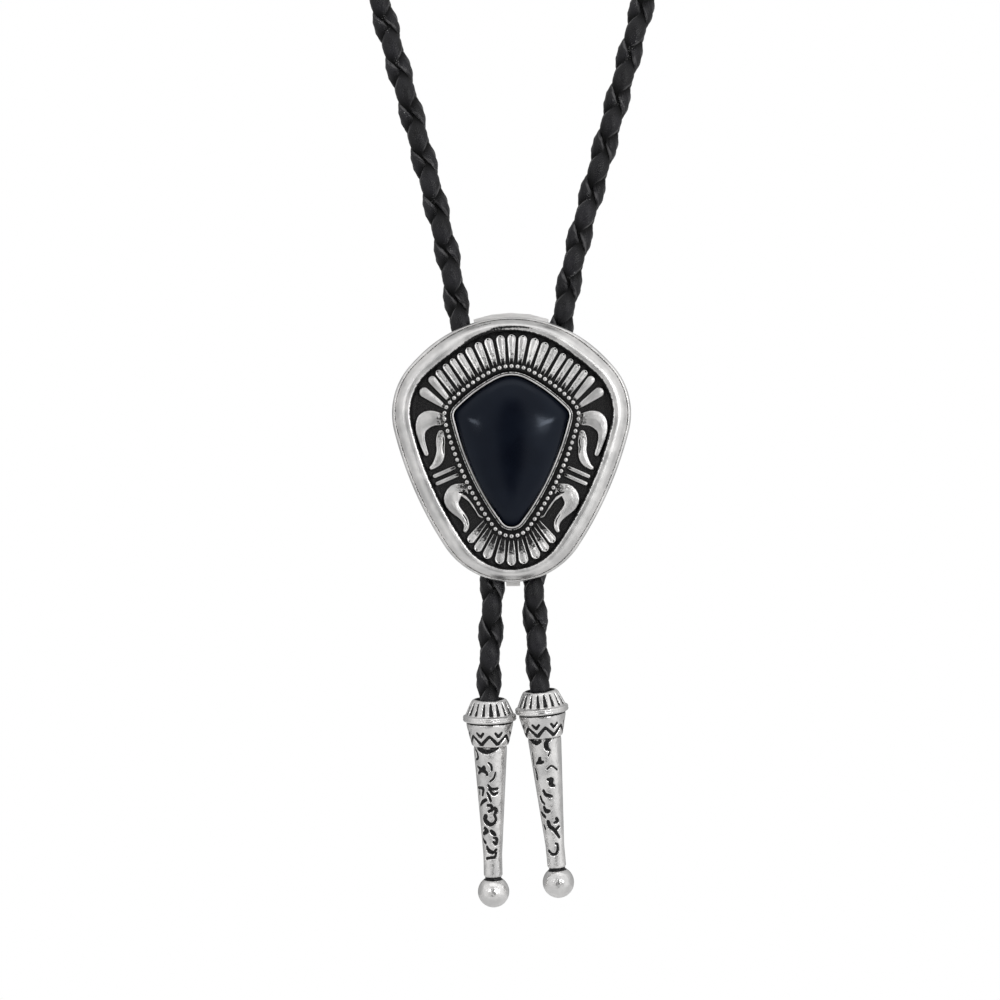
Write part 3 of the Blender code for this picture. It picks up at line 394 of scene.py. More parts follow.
# Finishes: a noise is a scale, a detail and a roughness, a ramp is where it starts and ends and maybe
# two levels, and a bump is a strength and a depth. The silver has clouds, grain, fine grain and dents.
NOISE_SPREAD = (0.3, 0.7)
SILVERS = rows_of("name smooth rough speckle dents", [
    ("rim_silver", 0.28, 0.38, 1.1, 0),
    ("relief_silver", 0.28, 0.4, 0.85, 2),
    ("tip_silver", 0.12, 0.22, 0.9, 7),
])
SILVER_NOISES = [(260, 3, 0.55), (2600, 5, 0.65), (9000, 3, 0.55), (1100, 2, 0.5)]
SILVER_RAMP = (0.35, 0.68)
OXIDE_RAMP = (0.36, 0.62)
OXIDE_FINE_RAMP = (0.45, 0.7)
OXIDE_ROUGHNESS = 0.22
GRAIN_SHARE = 0.5
SILVER_BUMP = (0.35, 0.00006)
STONE_CLOUD = (140, 3, 0.55)
STONE_WAVE = (60, 2, 0.55)
STONE_ROUGHNESS = (0.15, 0.19)
STONE_CLEAN_RAMP = (0.1, 0.42, 0, 0.44)
STONE_IOR = 1.33
STONE_BUMP = (0.05, 0.0003)
LEATHER_STRETCH = (2.2, 170)
LEATHER_STREAKS = (3.2, 5, 0.6)
LEATHER_PORES = (5200, 4, 0.6)
LEATHER_PATCHES = (300, 3, 0.55)
EDGE_RAMP = (0.7, 0.92)
WEAR_RAMP = (0.42, 0.6, 0, 0.9)
# Where, on over, the painted shade under the crossing strands gives way to the leather's tone
PAINTED_SHADE_RAMP = (0.35, 0.95)
SCUFF_RAMP = (0.6, 0.64)
SCUFF_EDGE_RAMP = (0.45, 0.8)
SCUFF_PATCH_RAMP = (0.52, 0.6)
LEATHER_ROUGHNESS = (0.2, 0.34)
LEATHER_SHEEN_RAMP = (0.4, 1, 0.1, 0.32)
PORE_SHARE = 0.7
LEATHER_BUMP = (0.7, 0.00014)
CLIP_STRETCH = (0.05, 1, 1)
CLIP_BRUSHING = (5200, 4, 0.6)
CLIP_CLOUD = (180, 3, 0.55)
CLIP_ROUGHNESS = (0.36, 0.5)
CLIP_BUMP = (0.25, 0.00003)

# Lamps, placed from the middle of the slide
LIGHTS = rows_of("name place width height power", [
    ("left_lamp", (-0.46, -0.76, 0.16), 0.19, 0.13, 0.42),
    ("right_lamp", (0.42, -0.8, 0.17), 0.25, 0.15, 1.25),
    ("top_panel", (0, -0.35, 0.7), 0.8, 0.3, 0.33),
])

# The world that reflections see: ramps of its light, each a direction, where it starts and ends there
# and its two levels. Sides and gap are products, and the ends above and below are added.
WORLD_SIDES = [("across", -0.5, 0.5, 0.8, 0.98), ("depth", -0.3, 0.3, 1, 0.58),
               ("away", 0.4, 0.8, 0.88, 1.22)]
WORLD_GAP = [("away", 0.09, 0.22, 1, 0), ("depth", -0.85, -0.5, 1, 0), ("up", 0.38, 0.56, 1, 0),
             ("up", -0.42, -0.2, 0, 1)]
WORLD_ENDS = [("up", 0.1, 0.9, 0, 0.3), ("up", -0.9, -0.1, 0.1, 0)]
GAP_DIMNESS = 0.92
FLOOR_RADIUS = 0.33
FLOOR_SIDES = 96
FLOOR_MIDDLE_Y = -0.06
FLOOR_Z = -0.48
FLOOR_ROUGHNESS = 0.8
CLIP_START = 0.01


class Kite:
    """A closed outline of tangent arcs with a crown, shoulders, corners, long sides and a toe."""

    arc_steps = (26, 30, 42, 48, 30)

    def __init__(self, half_width, top, bottom, widest, corner, crown, shoulder, side, toe):
        corner_centre = Vector((half_width - corner, widest))
        crown_radius = crown * round_to_corner(corner_centre.x, top - widest, corner)
        toe_radius = toe * round_to_corner(corner_centre.x, widest - bottom, corner)
        crown_centre = Vector((0, top - crown_radius))
        toe_centre = Vector((0, bottom + toe_radius))
        shoulder_centre, shoulder_radius = joining_arc(
            crown_centre, crown_radius, corner_centre, corner, shoulder)
        side_centre, side_radius = joining_arc(corner_centre, corner, toe_centre, toe_radius, side)
        turns = [
            math.pi / 2,
            angle_between(shoulder_centre, crown_centre),
            angle_between(shoulder_centre, corner_centre),
            angle_between(side_centre, corner_centre),
            angle_between(side_centre, toe_centre),
            -math.pi / 2,
        ]
        centres = [crown_centre, shoulder_centre, corner_centre, side_centre, toe_centre]
        radii = [crown_radius, shoulder_radius, corner, side_radius, toe_radius]
        self.arcs = list(zip(centres, radii, turns, turns[1:]))

    def half(self, inset=0.0):
        """Points of the right half from the top to the toe."""
        points = []
        for (centre, radius, start, end), steps in zip(self.arcs, self.arc_steps):
            for turn in np.linspace(start, end, steps, endpoint=False):
                points.append(centre + (radius - inset) * direction(turn))
        points.append(centre + (radius - inset) * direction(end))
        return points

    def ring(self, inset=0.0):
        """The whole closed outline as an array of (x, z)."""
        right = np.array([tuple(point) for point in self.half(inset)])
        left = right[-2:0:-1] * (-1, 1)
        return np.vstack([right, left])

    def walk(self, distance, inset=0.0):
        """The point at a distance along the right half from the top."""
        for centre, radius, start, end in self.arcs:
            length = (radius - inset) * (start - end)
            if distance <= length or end == -math.pi / 2:
                turn = start - distance / (radius - inset)
                return centre + (radius - inset) * direction(turn)
            distance -= length

    def half_length(self, inset=0.0):
        return sum((radius - inset) * (start - end) for _, radius, start, end in self.arcs)


def direction(turn):
    return Vector((math.cos(turn), math.sin(turn)))


def angle_between(start, end):
    return math.atan2(end.y - start.y, end.x - start.x)


def round_to_corner(corner_x, height, corner):
    """Radius of the round from the middle line that would run straight into the corner's arc."""
    return (corner_x ** 2 + height ** 2 - corner ** 2) / (2 * (height - corner))


def joining_arc(first, first_radius, second, second_radius, times):
    """Centre and radius of an arc that runs round two circles and bulges to the right.

    Its radius is so many times that of the smallest such arc.
    """
    line = second - first
    radius = times * (line.length + first_radius + second_radius) / 2
    first_reach = radius - first_radius
    second_reach = radius - second_radius
    along = (first_reach ** 2 - second_reach ** 2 + line.length ** 2) / (2 * line.length)
    away = math.sqrt(first_reach ** 2 - along ** 2)
    unit = line.normalized()
    return first + unit * along + Vector((unit.y, -unit.x)) * away, radius


SLIDE_KITE = Kite(**SLIDE_OUTLINE)
FACE_KITE = Kite(**FACE_OUTLINE)
STONE_KITE = Kite(**STONE_OUTLINE)


# Meshes

def column(table, name):
    return np.array([row[name] for row in table])


def smooth_table(rows, count):
    """A smooth curve through rows of numbers, read at evenly spaced places."""
    rows = np.asarray(rows, float)
    padded = np.vstack([2 * rows[0] - rows[1], rows, 2 * rows[-1] - rows[-2]])
    places = np.linspace(0, len(rows) - 1, count)
    index = np.minimum(places.astype(int), len(rows) - 2)
    part = (places - index)[:, None]
    before, start, end, after = (padded[index + shift] for shift in range(4))
    straight = 2 * start + (end - before) * part
    bend = (2 * before - 5 * start + 4 * end - after) * part ** 2
    twist = (3 * start - before - 3 * end + after) * part ** 3
    return (straight + bend + twist) / 2


def smooth_step(values, low, high):
    share = np.clip((values - low) / (high - low), 0, 1)
    return share * share * (3 - 2 * share)


def even_turns(count):
    return np.linspace(0, 2 * math.pi, count, endpoint=False)


def lengths_along(points):
    return np.concatenate([[0], np.cumsum(np.linalg.norm(np.diff(points, axis=0), axis=1))])


def read_along(places, along, rows):
    """Rows of three numbers that are known along a line, read at other places of it."""
    return np.stack([np.interp(places, along, rows[:, axis]) for axis in range(3)], axis=-1)


def band_quads(rows, columns, wrap=True):
    """Faces between rows of points; wrap joins each row's last point to its first."""
    here = np.arange(columns if wrap else columns - 1)
    after = (here + 1) % columns
    starts = (np.arange(rows - 1) * columns)[:, None]
    corners = [starts + here, starts + after, starts + after + columns, starts + here + columns]
    return np.stack(corners, axis=-1).reshape(-1, 4)


def tube_faces(rows, columns):
    """Faces of a closed tube with a cap over its first ring and its last."""
    faces = band_quads(rows, columns).tolist()
    faces.append(list(range(columns))[::-1])
    faces.append(list(range((rows - 1) * columns, rows * columns)))
    return faces


def add_object(name, data):
    item = bpy.data.objects.new(name, data)
    bpy.context.scene.collection.objects.link(item)
    return item


def on_face(points, heights):
    """Points (x, z) and heights of the slide's face, in the frame of the whole tie."""
    points = np.asarray(points, float)
    heights = np.broadcast_to(heights, points.shape[:-1])
    return np.stack([points[..., 0], SLIDE_BACK_Y - heights, SLIDE_MIDDLE_Z + points[..., 1]], axis=-1)


def make_piece(name, material, slot, points, faces, replaces=None, **values):
    """One mesh of the tie from its points, its faces and named values of its points."""
    points = np.asarray(points, float).reshape(-1, 3)
    mesh = bpy.data.meshes.new(name)
    mesh.from_pydata(points.tolist(), [], faces)
    mesh.shade_smooth()
    for value_name, value in values.items():
        attribute = mesh.attributes.new(value_name, "FLOAT", "POINT")
        flat = np.broadcast_to(np.asarray(value, float).reshape(-1), len(points))
        attribute.data.foreach_set("value", flat.astype(np.float32))
    mesh.materials.append(material)
    item = add_object(name, mesh)
    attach(item, "root")
    if replaces:
        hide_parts(replaces)


# Materials

# Numbers of a mix node's colour sockets, whose names are shared by its other kinds of value
MIX_FIRST_COLOUR = 6
MIX_SECOND_COLOUR = 7
MIX_COLOUR_RESULT = 2


class Nodes:
    """A node tree with a short call for each node that the finishes and the world need."""

    def __init__(self, tree):
        self.tree = tree

    def put(self, value, socket):
        if isinstance(value, bpy.types.NodeSocket):
            self.tree.links.new(value, socket)
        else:
            socket.default_value = value

    def add(self, kind, inputs, **settings):
        """Outputs of a new node. An input is a plain value or the output of another node."""
        node = self.tree.nodes.new("ShaderNode" + kind)
        for name, value in settings.items():
            setattr(node, name, value)
        for name, value in inputs.items():
            self.put(value, node.inputs[name])
        return node.outputs

    def math(self, operation, first, second=0):
        return self.add("Math", {0: first, 1: second}, operation=operation)[0]

    def total(self, first, *others):
        for other in others:
            first = self.math("ADD", first, other)
        return first

    def product(self, first, *others):
        for other in others:
            first = self.math("MULTIPLY", first, other)
        return first

    def ramp(self, value, *levels):
        """A smooth step between where it starts and ends, from 0 to 1 or between two levels."""
        inputs = dict(zip(("Value", "From Min", "From Max", "To Min", "To Max"), (value, *levels)))
        return self.add("MapRange", inputs, interpolation_type="SMOOTHSTEP")["Result"]

    def mix(self, share, first, second):
        inputs = {0: share, MIX_FIRST_COLOUR: first, MIX_SECOND_COLOUR: second}
        return self.add("Mix", inputs, data_type="RGBA")[MIX_COLOUR_RESULT]


class Finish(Nodes):
    """A material whose surface is set by the names of its sockets."""

    def __init__(self, name):
        self.material = bpy.data.materials.new(name)
        self.material.use_nodes = True
        super().__init__(self.material.node_tree)
        self.place = self.add("TexCoord", {})["Object"]

    def surface(self, **values):
        """Set the surface's sockets, each by its name with underscores for the spaces."""
        sockets = self.tree.nodes["Principled BSDF"].inputs
        for name, value in values.items():
            self.put(value, sockets[name.replace("_", " ")])
        return self.material

    def value(self, name):
        return self.add("Attribute", {}, attribute_name=name)["Fac"]

    def noise(self, grain, place=None):
        inputs = dict(zip(("Scale", "Detail", "Roughness"), grain), Vector=place or self.place)
        return self.add("TexNoise", inputs)["Fac"]

    def spread(self, noise, *levels):
        return self.ramp(noise, *NOISE_SPREAD, *levels)

    def bump(self, height, strength, depth):
        return self.add("Bump", {"Strength": strength, "Distance": depth, "Height": height})["Normal"]


def make_silver(name, smooth, rough, speckle, dents):
    """Cast silver: bright where it is rubbed, mottled where the oxide thins and black where it lies."""
    finish = Finish(name)
    cloud, grain, fine, worked = (finish.noise(noise) for noise in SILVER_NOISES)
    shift = finish.product(finish.math("SUBTRACT", grain, 0.5), speckle)
    black = finish.ramp(finish.total(finish.value("oxide"), shift), *OXIDE_RAMP)
    bright = finish.mix(finish.ramp(cloud, *SILVER_RAMP), SOFT_SILVER, BRIGHT_SILVER)
    dark = finish.mix(finish.ramp(fine, *OXIDE_FINE_RAMP), OXIDE_BLACK, OXIDE_GREY)
    roughness = finish.total(finish.spread(cloud, smooth, rough), finish.product(black, OXIDE_ROUGHNESS))
    height = finish.total(finish.product(grain, GRAIN_SHARE), fine, finish.product(worked, dents))
    return finish.surface(
        Base_Color=finish.mix(black, bright, dark), Roughness=roughness, Metallic=1.0,
        Normal=finish.bump(height, *SILVER_BUMP))


def make_stone_finish():
    """Polished black stone: its foot is dulled by the oxide round it."""
    finish = Finish("black_stone")
    cloud = finish.noise(STONE_CLOUD)
    return finish.surface(
        Base_Color=finish.mix(finish.spread(cloud), STONE_BLACK, STONE_BLUE),
        Roughness=finish.spread(cloud, *STONE_ROUGHNESS), IOR=STONE_IOR, Specular_Tint=STONE_SHEEN,
        Specular_IOR_Level=finish.ramp(finish.value("rise"), *STONE_CLEAN_RAMP),
        Normal=finish.bump(finish.noise(STONE_WAVE), *STONE_BUMP))


def make_leather():
    """Dyed leather thong: satin grain drawn out along the strand, worn edges, small pale scuffs and painted
    shade where a strand dives under the others.
    """
    finish = Finish("black_leather")
    across, along, strand, over = (finish.value(name) for name in ("across", "along", "strand", "over"))
    stretched = finish.add("CombineXYZ", {
        "X": finish.product(across, LEATHER_STRETCH[0]), "Y": finish.product(along, LEATHER_STRETCH[1]),
        "Z": strand,
    })[0]
    streaks = finish.noise(LEATHER_STREAKS, stretched)
    pores = finish.noise(LEATHER_PORES)
    patches = finish.noise(LEATHER_PATCHES)
    edge = finish.math("ABSOLUTE", across)
    worn = finish.product(finish.ramp(edge, *EDGE_RAMP), finish.ramp(streaks, *WEAR_RAMP))
    scuffs = finish.product(finish.ramp(pores, *SCUFF_RAMP), finish.ramp(edge, *SCUFF_EDGE_RAMP),
                            finish.ramp(patches, *SCUFF_PATCH_RAMP))
    tone = finish.mix(finish.spread(patches), LEATHER_BLACK, LEATHER_GREY)
    tone = finish.mix(worn, tone, LEATHER_WORN)
    # Painted shade: the tone falls to near black where the strand dives under the others
    tone = finish.mix(finish.ramp(over, *PAINTED_SHADE_RAMP), LEATHER_PAINTED_SHADE, tone)
    height = finish.total(streaks, finish.product(pores, PORE_SHARE))
    return finish.surface(
        Base_Color=finish.mix(scuffs, tone, LEATHER_SCUFF),
        Roughness=finish.spread(streaks, *LEATHER_ROUGHNESS),
        Specular_IOR_Level=finish.ramp(over, *LEATHER_SHEEN_RAMP),
        Normal=finish.bump(height, *LEATHER_BUMP))


def make_clip_finish():
    """Nickelled sheet, brushed from side to side."""
    finish = Finish("clip_steel")
    stretched = finish.add("Mapping", {"Vector": finish.place, "Scale": CLIP_STRETCH})[0]
    brushed = finish.noise(CLIP_BRUSHING, stretched)
    cloud = finish.spread(finish.noise(CLIP_CLOUD))
    return finish.surface(
        Base_Color=finish.mix(cloud, CLIP_DARK, CLIP_BRIGHT), Metallic=1.0,
        Roughness=finish.spread(brushed, *CLIP_ROUGHNESS), Normal=finish.bump(brushed, *CLIP_BUMP))


# Slide

def slide_sections():
    """Rings of the cast body from its back to the stone's seat, each with its height and oxide."""
    outer = SLIDE_KITE.ring()
    inner = FACE_KITE.ring()
    sections = [
        (SLIDE_KITE.ring(BACK_CHAMFER), 0.0, BACK_OXIDE),
        (outer, BACK_CHAMFER, BACK_OXIDE),
    ]
    rim = [list(row.values()) for row in RIM_SECTION]
    for across, height, oxide in smooth_table(rim, RIM_COLUMNS):
        ring = outer + (inner - outer) * across
        sections.append((ring, height * RIM_HEIGHT, oxide + rim_smudge(ring, across)))
    sections.append((inner, RIM_HEIGHT * RIM_LIP_SHARE, RIM_LIP_OXIDE))
    bezel_foot = STONE_KITE.ring(-BEZEL_SECTION[0]["out"])
    for share in np.linspace(0, 1, FLOOR_ROWS):
        sections.append((inner + (bezel_foot - inner) * share, FACE_HEIGHT, 1.0))
    for row in BEZEL_SECTION:
        sections.append((STONE_KITE.ring(-row["out"]), FACE_HEIGHT + row["height"], row["oxide"]))
    return sections


def rim_smudge(ring, across):
    """Oxide left in patches on the rim's top."""
    total = np.zeros(len(ring))
    for row in RIM_SMUDGES:
        near = math.exp(-((across - row["across"]) / row["spread"]) ** 2)
        beside = np.exp(-((ring[:, 0] - row["out"]) / row["reach"]) ** 2) * (ring[:, 1] > 0)
        total += row["depth"] * near * beside
    return total


def make_slide_body(material):
    sections = slide_sections()
    size = len(sections[0][0])
    points = np.concatenate([on_face(ring, height) for ring, height, _ in sections])
    oxide = np.concatenate([np.broadcast_to(value, size) for _, _, value in sections])
    make_piece("slide_body", material, "antique_silver", points, tube_faces(len(sections), size),
               "slide", oxide=oxide)


def stroke_field(out, up, strokes):
    """How far inside the nearest stroke each point lies, and that stroke's own values there.

    A stroke is rows of out, up, half width and any more values.
    """
    inside = np.full(out.shape, -np.inf)
    values = np.zeros(out.shape + (len(strokes[0][0]) - 3,))
    for stroke in strokes:
        rows = np.asarray(stroke, float)
        for start, end in zip(rows, rows[1:]):
            run = end[:2] - start[:2]
            share = np.clip(((out - start[0]) * run[0] + (up - start[1]) * run[1]) / run.dot(run), 0, 1)
            away = np.hypot(out - start[0] - share * run[0], up - start[1] - share * run[1])
            depth = start[2] + (end[2] - start[2]) * share - away
            nearer = depth > inside
            inside[nearer] = depth[nearer]
            values[nearer] = start[3:] + (end[3:] - start[3:]) * share[nearer][:, None]
    return inside, values


def reach(kite, inset, point, way):
    """How far a ray from a point runs before it meets the right half of an outline."""
    outline = kite.half(inset)
    distances = []
    for near, far in zip(outline, outline[1:]):
        edge = far - near
        across = way.x * edge.y - way.y * edge.x
        gap = near - point
        share = (gap.x * way.y - gap.y * way.x) / across
        distance = (gap.x * edge.y - gap.y * edge.x) / across
        if distance > 0 and -1e-6 <= share <= 1 + 1e-6:
            distances.append(distance)
    return min(distances)


def ray_lines(tilts, from_top):
    """Foot and end of each ray of one fan, on the right half."""
    length = STONE_KITE.half_length(-RAY_FOOT_OFFSET)
    lines = []
    for number, tilt in enumerate(tilts):
        distance = number * RAY_PITCH
        foot = STONE_KITE.walk(distance if from_top else length - distance, -RAY_FOOT_OFFSET)
        lean = math.radians(tilt)
        way = Vector((math.sin(lean), math.cos(lean) if from_top else -math.cos(lean)))
        lines.append((foot, foot + way * reach(FACE_KITE, RAY_END_GAP, foot, way)))
    return lines


def ray_strokes(tilts, rows, from_top):
    """The rays of one fan as strokes, in millimetres, and the small dots near their heads.

    A dot is a stroke whose half width falls away at once towards the ray's foot.
    """
    lines = ray_lines(tilts, from_top)
    strokes = []
    dots = []
    for number, (foot, end) in enumerate(lines):
        low = max(number - 1, 0)
        high = min(number + 1, len(lines) - 1)
        half = RAY_END_SHARE * (lines[high][1] - lines[low][1]).length / (high - low)
        hollow = RAY_HOLLOW
        darkness = 1.0
        if from_top and number in RAY_BROAD_HALF_WIDTHS:
            half = RAY_BROAD_HALF_WIDTHS[number]
            hollow = BROAD_RAY_HOLLOW
            darkness = BROAD_RAY_DARK
        else:
            dot = end - (end - foot).normalized() * RAY_DOT_BACK
            dots.append([(*dot * 1000, RAY_DOT_RADIUS * 1000), (*foot * 1000, RAY_DOT_END)])
        head = end - (end - foot).normalized() * half
        stroke = []
        for row in rows:
            point = foot.lerp(head, row["along"])
            width = RAY_FOOT_HALF_WIDTH + (half - RAY_FOOT_HALF_WIDTH) * row["grown"]
            stroke.append((*point * 1000, width * 1000, hollow, row["dark"] * darkness, row["fade"]))
        strokes.append(stroke)
    return strokes, dots


def relief_strokes():
    """The raised forms, the cuts, the dots and the ring of granules, as strokes in millimetres."""
    top_rays, top_dots = ray_strokes(TOP_RAY_TILTS, TOP_RAY_ROWS, True)
    bottom_rays, bottom_dots = ray_strokes(BOTTOM_RAY_TILTS, BOTTOM_RAY_ROWS, False)
    raised = top_rays + bottom_rays + [smooth_table(motif, MOTIF_ROWS) for motif in MOTIFS]
    cuts = [smooth_table(line, MOTIF_ROWS) for line in CUTS]
    ring = STONE_KITE.half(-GRANULE_OFFSET)[::GRANULE_RING_STEP]
    granules = [[(*point * 1000, GRANULE_RADIUS * 1000) for point in ring]]
    return raised, cuts, top_dots + bottom_dots, granules


def relief_grid():
    """Places of the sheet's points, in millimetres from the middle of the slide."""
    across = math.ceil(FACE_OUTLINE["half_width"] * 1000 / RELIEF_CELL)
    low = math.floor(FACE_OUTLINE["bottom"] * 1000 / RELIEF_CELL)
    high = math.ceil(FACE_OUTLINE["top"] * 1000 / RELIEF_CELL)
    up, out = np.meshgrid(np.arange(low, high + 1), np.arange(-across, across + 1), indexing="ij")
    return out * RELIEF_CELL, up * RELIEF_CELL


def make_relief(material):
    """A fine sheet over the raised forms, with its edge drawn onto their outlines."""
    out, up = relief_grid()
    fields = [stroke_field(np.abs(out), up, strokes) for strokes in relief_strokes()]
    inside, values = fields[0]
    hollow, dark, fade = (values[..., axis] for axis in range(3))
    ramps = (CUT_RAMP, DOT_RAMP, SINK_RAMP)
    cut, dot, sunk = (smooth_step(field, *ramp) for (field, _), ramp in zip(fields[1:], ramps))
    across, rises, oxides = (column(RELIEF_SECTION, name) for name in ("inside", "rise", "oxide"))
    rise = np.interp(inside, across, rises) - HOLLOW_DEPTH * hollow * smooth_step(inside, *HOLLOW_RAMP)
    rise = rise - CUT_DEPTH * cut - DOT_DEPTH * dot - RELIEF_SINK * sunk
    oxide = np.interp(inside, across, oxides) + fade + cut + DOT_OXIDE * dot
    oxide = oxide + (dark + HOLLOW_OXIDE * hollow) * smooth_step(inside, *MIDDLE_RAMP)
    edge = RELIEF_CELL * EDGE_INSIDE
    border = -RELIEF_CELL * EDGE_OUTSIDE
    slope_up, slope_out = np.gradient(inside, RELIEF_CELL)
    shift = np.where((inside < edge) & (inside > border), -inside, 0)
    shift = shift / np.maximum(slope_up ** 2 + slope_out ** 2, EDGE_MIN_SLOPE)
    place = np.stack([out + slope_out * shift, up + slope_up * shift], axis=-1) / 1000
    rise = np.where(inside < edge, RELIEF_SECTION[0]["rise"], rise)
    points = on_face(place, FACE_HEIGHT + rise * RELIEF_HEIGHT)
    faces = band_quads(*inside.shape, wrap=False)
    depths = inside.reshape(-1)[faces]
    faces = faces[(depths > edge).any(axis=1) & (depths > border).all(axis=1)]
    used, renumbered = np.unique(faces, return_inverse=True)
    make_piece("slide_relief", material, "antique_silver", points.reshape(-1, 3)[used],
               renumbered.reshape(-1, 4).tolist(), oxide=oxide.reshape(-1)[used])


def ball(radius, segments, rings):
    """Points and faces of a ball with its axis along Y."""
    turns = even_turns(segments)
    points = []
    for tilt in np.linspace(0, math.pi, rings + 1)[1:-1]:
        out, back = np.sin(tilt), np.full(segments, -np.cos(tilt))
        points.append(np.stack([out * np.cos(turns), back, out * np.sin(turns)], axis=1) * radius)
    rows = len(points)
    points = np.vstack(points + [[(0, -radius, 0)], [(0, radius, 0)]])
    faces = band_quads(rows, segments).tolist()
    front = rows * segments
    for index in range(segments):
        after = (index + 1) % segments
        faces.append([front, after, index])
        faces.append([front + 1, front - segments + index, front - segments + after])
    return points, faces


def make_granules(material):
    """Flattened balls in a ring, with oxide at their feet and a painted dark reflection in the middle of
    their tops.
    """
    points, faces = ball(GRANULE_RADIUS, GRANULE_SIDES, GRANULE_ROWS)
    shares = points / GRANULE_RADIUS
    # dot is a painted dark reflection where each ball's top faces the front, added to its oxide
    dot = smooth_step(-np.hypot(shares[:, 0], shares[:, 2]), *GRANULE_PAINTED_REFLECTION_RAMP) * (shares[:, 1] < 0)
    oxide = smooth_step(shares[:, 1], *GRANULE_FOOT_RAMP) + GRANULE_PAINTED_REFLECTION_OXIDE * dot
    points[:, 1] *= GRANULE_FLATNESS
    length = STONE_KITE.half_length(-GRANULE_OFFSET)
    count = round(length / GRANULE_PITCH)
    places = []
    for number in range(count + 1):
        middle = STONE_KITE.walk(number * length / count, -GRANULE_OFFSET)
        for side in ((1,) if number in (0, count) else (1, -1)):
            places.append(on_face((middle.x * side, middle.y), FACE_HEIGHT + GRANULE_LIFT))
    size = len(points)
    points = np.vstack([points + place for place in places])
    faces = [[corner + start for corner in face] for start in range(0, len(points), size) for face in faces]
    make_piece("slide_granules", material, "antique_silver", points, faces,
               oxide=np.tile(oxide, len(places)))


# Stone

def make_stone(material):
    """A cabochon: a straight girdle and a smooth dome over an off-centre peak."""
    foot = FACE_HEIGHT + SEAT_HEIGHT + GAP
    outline = STONE_KITE.ring()
    peak = np.array([0, STONE_PEAK_Z])
    arms = outline - peak
    top = STONE_OUTLINE["top"] - STONE_PEAK_Z
    bottom = STONE_PEAK_Z - STONE_OUTLINE["bottom"]
    tall = np.where(arms[:, 1] > 0, top, bottom)
    oval = STONE_ROUND_SHARE / np.hypot(arms[:, 0] / STONE_OUTLINE["half_width"], arms[:, 1] / tall)
    rings = [on_face(outline, foot)]
    rises = [0.0]
    for turn in np.radians(np.linspace(0, STONE_LAST_TURN, STONE_ROWS)):
        rounded = 1 + (oval - 1) * STONE_ROUNDING * math.sin(turn)
        ring = peak + arms * (rounded * math.cos(turn))[:, None]
        rings.append(on_face(ring, foot + STONE_GIRDLE + STONE_DOME * math.sin(turn)))
        rises.append(math.sin(turn))
    size = len(outline)
    make_piece("stone_dome", material, "black_stone", np.concatenate(rings),
               tube_faces(len(rings), size), "stone", rise=np.repeat(rises, size))


# Cord

def centripetal_point(points, knots, at):
    """One point of a Catmull-Rom span, worked out with its pyramid of blends."""
    for spans in (((0, 1), (1, 2), (2, 3)), ((0, 2), (1, 3)), ((1, 2),)):
        points = [
            near.lerp(far, (at - knots[low]) / (knots[high] - knots[low]))
            for near, far, (low, high) in zip(points, points[1:], spans)
        ]
    return points[0]


def cord_line():
    """The cord's middle line with its distance along and two directions square to it."""
    points = [Vector(point) for point in CORD_ROUTE]
    ends = [2 * points[0] - points[1]] + points + [2 * points[-1] - points[-2]]
    fine = []
    for span in zip(ends, ends[1:], ends[2:], ends[3:]):
        knots = [0.0]
        for near, far in zip(span, span[1:]):
            knots.append(knots[-1] + math.sqrt((far - near).length))
        for step in range(ROUTE_SPANS):
            at = knots[1] + (knots[2] - knots[1]) * step / ROUTE_SPANS
            fine.append(centripetal_point(span, knots, at))
    fine.append(points[-1])
    fine = np.array([tuple(point) for point in fine])
    along = lengths_along(fine)
    count = round(along[-1] / STRAND_STEP)
    distance = np.linspace(0, along[-1], count + 1)
    middle = read_along(distance, along, fine)
    ways = np.gradient(middle, axis=0)
    ways /= np.linalg.norm(ways, axis=1)[:, None]
    front = np.zeros_like(middle)
    carried = np.array([0.0, -1.0, 0.0])
    for index, way in enumerate(ways):
        carried = carried - way * carried.dot(way)
        carried /= np.linalg.norm(carried)
        front[index] = carried
    return distance, middle, front, np.cross(ways, front)


def make_core(material, line):
    """A plain round core that fills the braid's middle, all in the leather's painted shade."""
    distance, middle, front, beside = line
    turns = even_turns(CORE_SIDES)[:, None]
    rings = np.cos(turns) * front[:, None] + np.sin(turns) * beside[:, None]
    make_piece("cord_core", material, "black_leather", middle[:, None] + rings * CORE_RADIUS,
               tube_faces(len(distance), CORE_SIDES), across=0.0, along=np.repeat(distance, CORE_SIDES),
               strand=CORE_NUMBER, over=0.0)


def signed_power(values, power):
    return np.sign(values) * np.abs(values) ** power


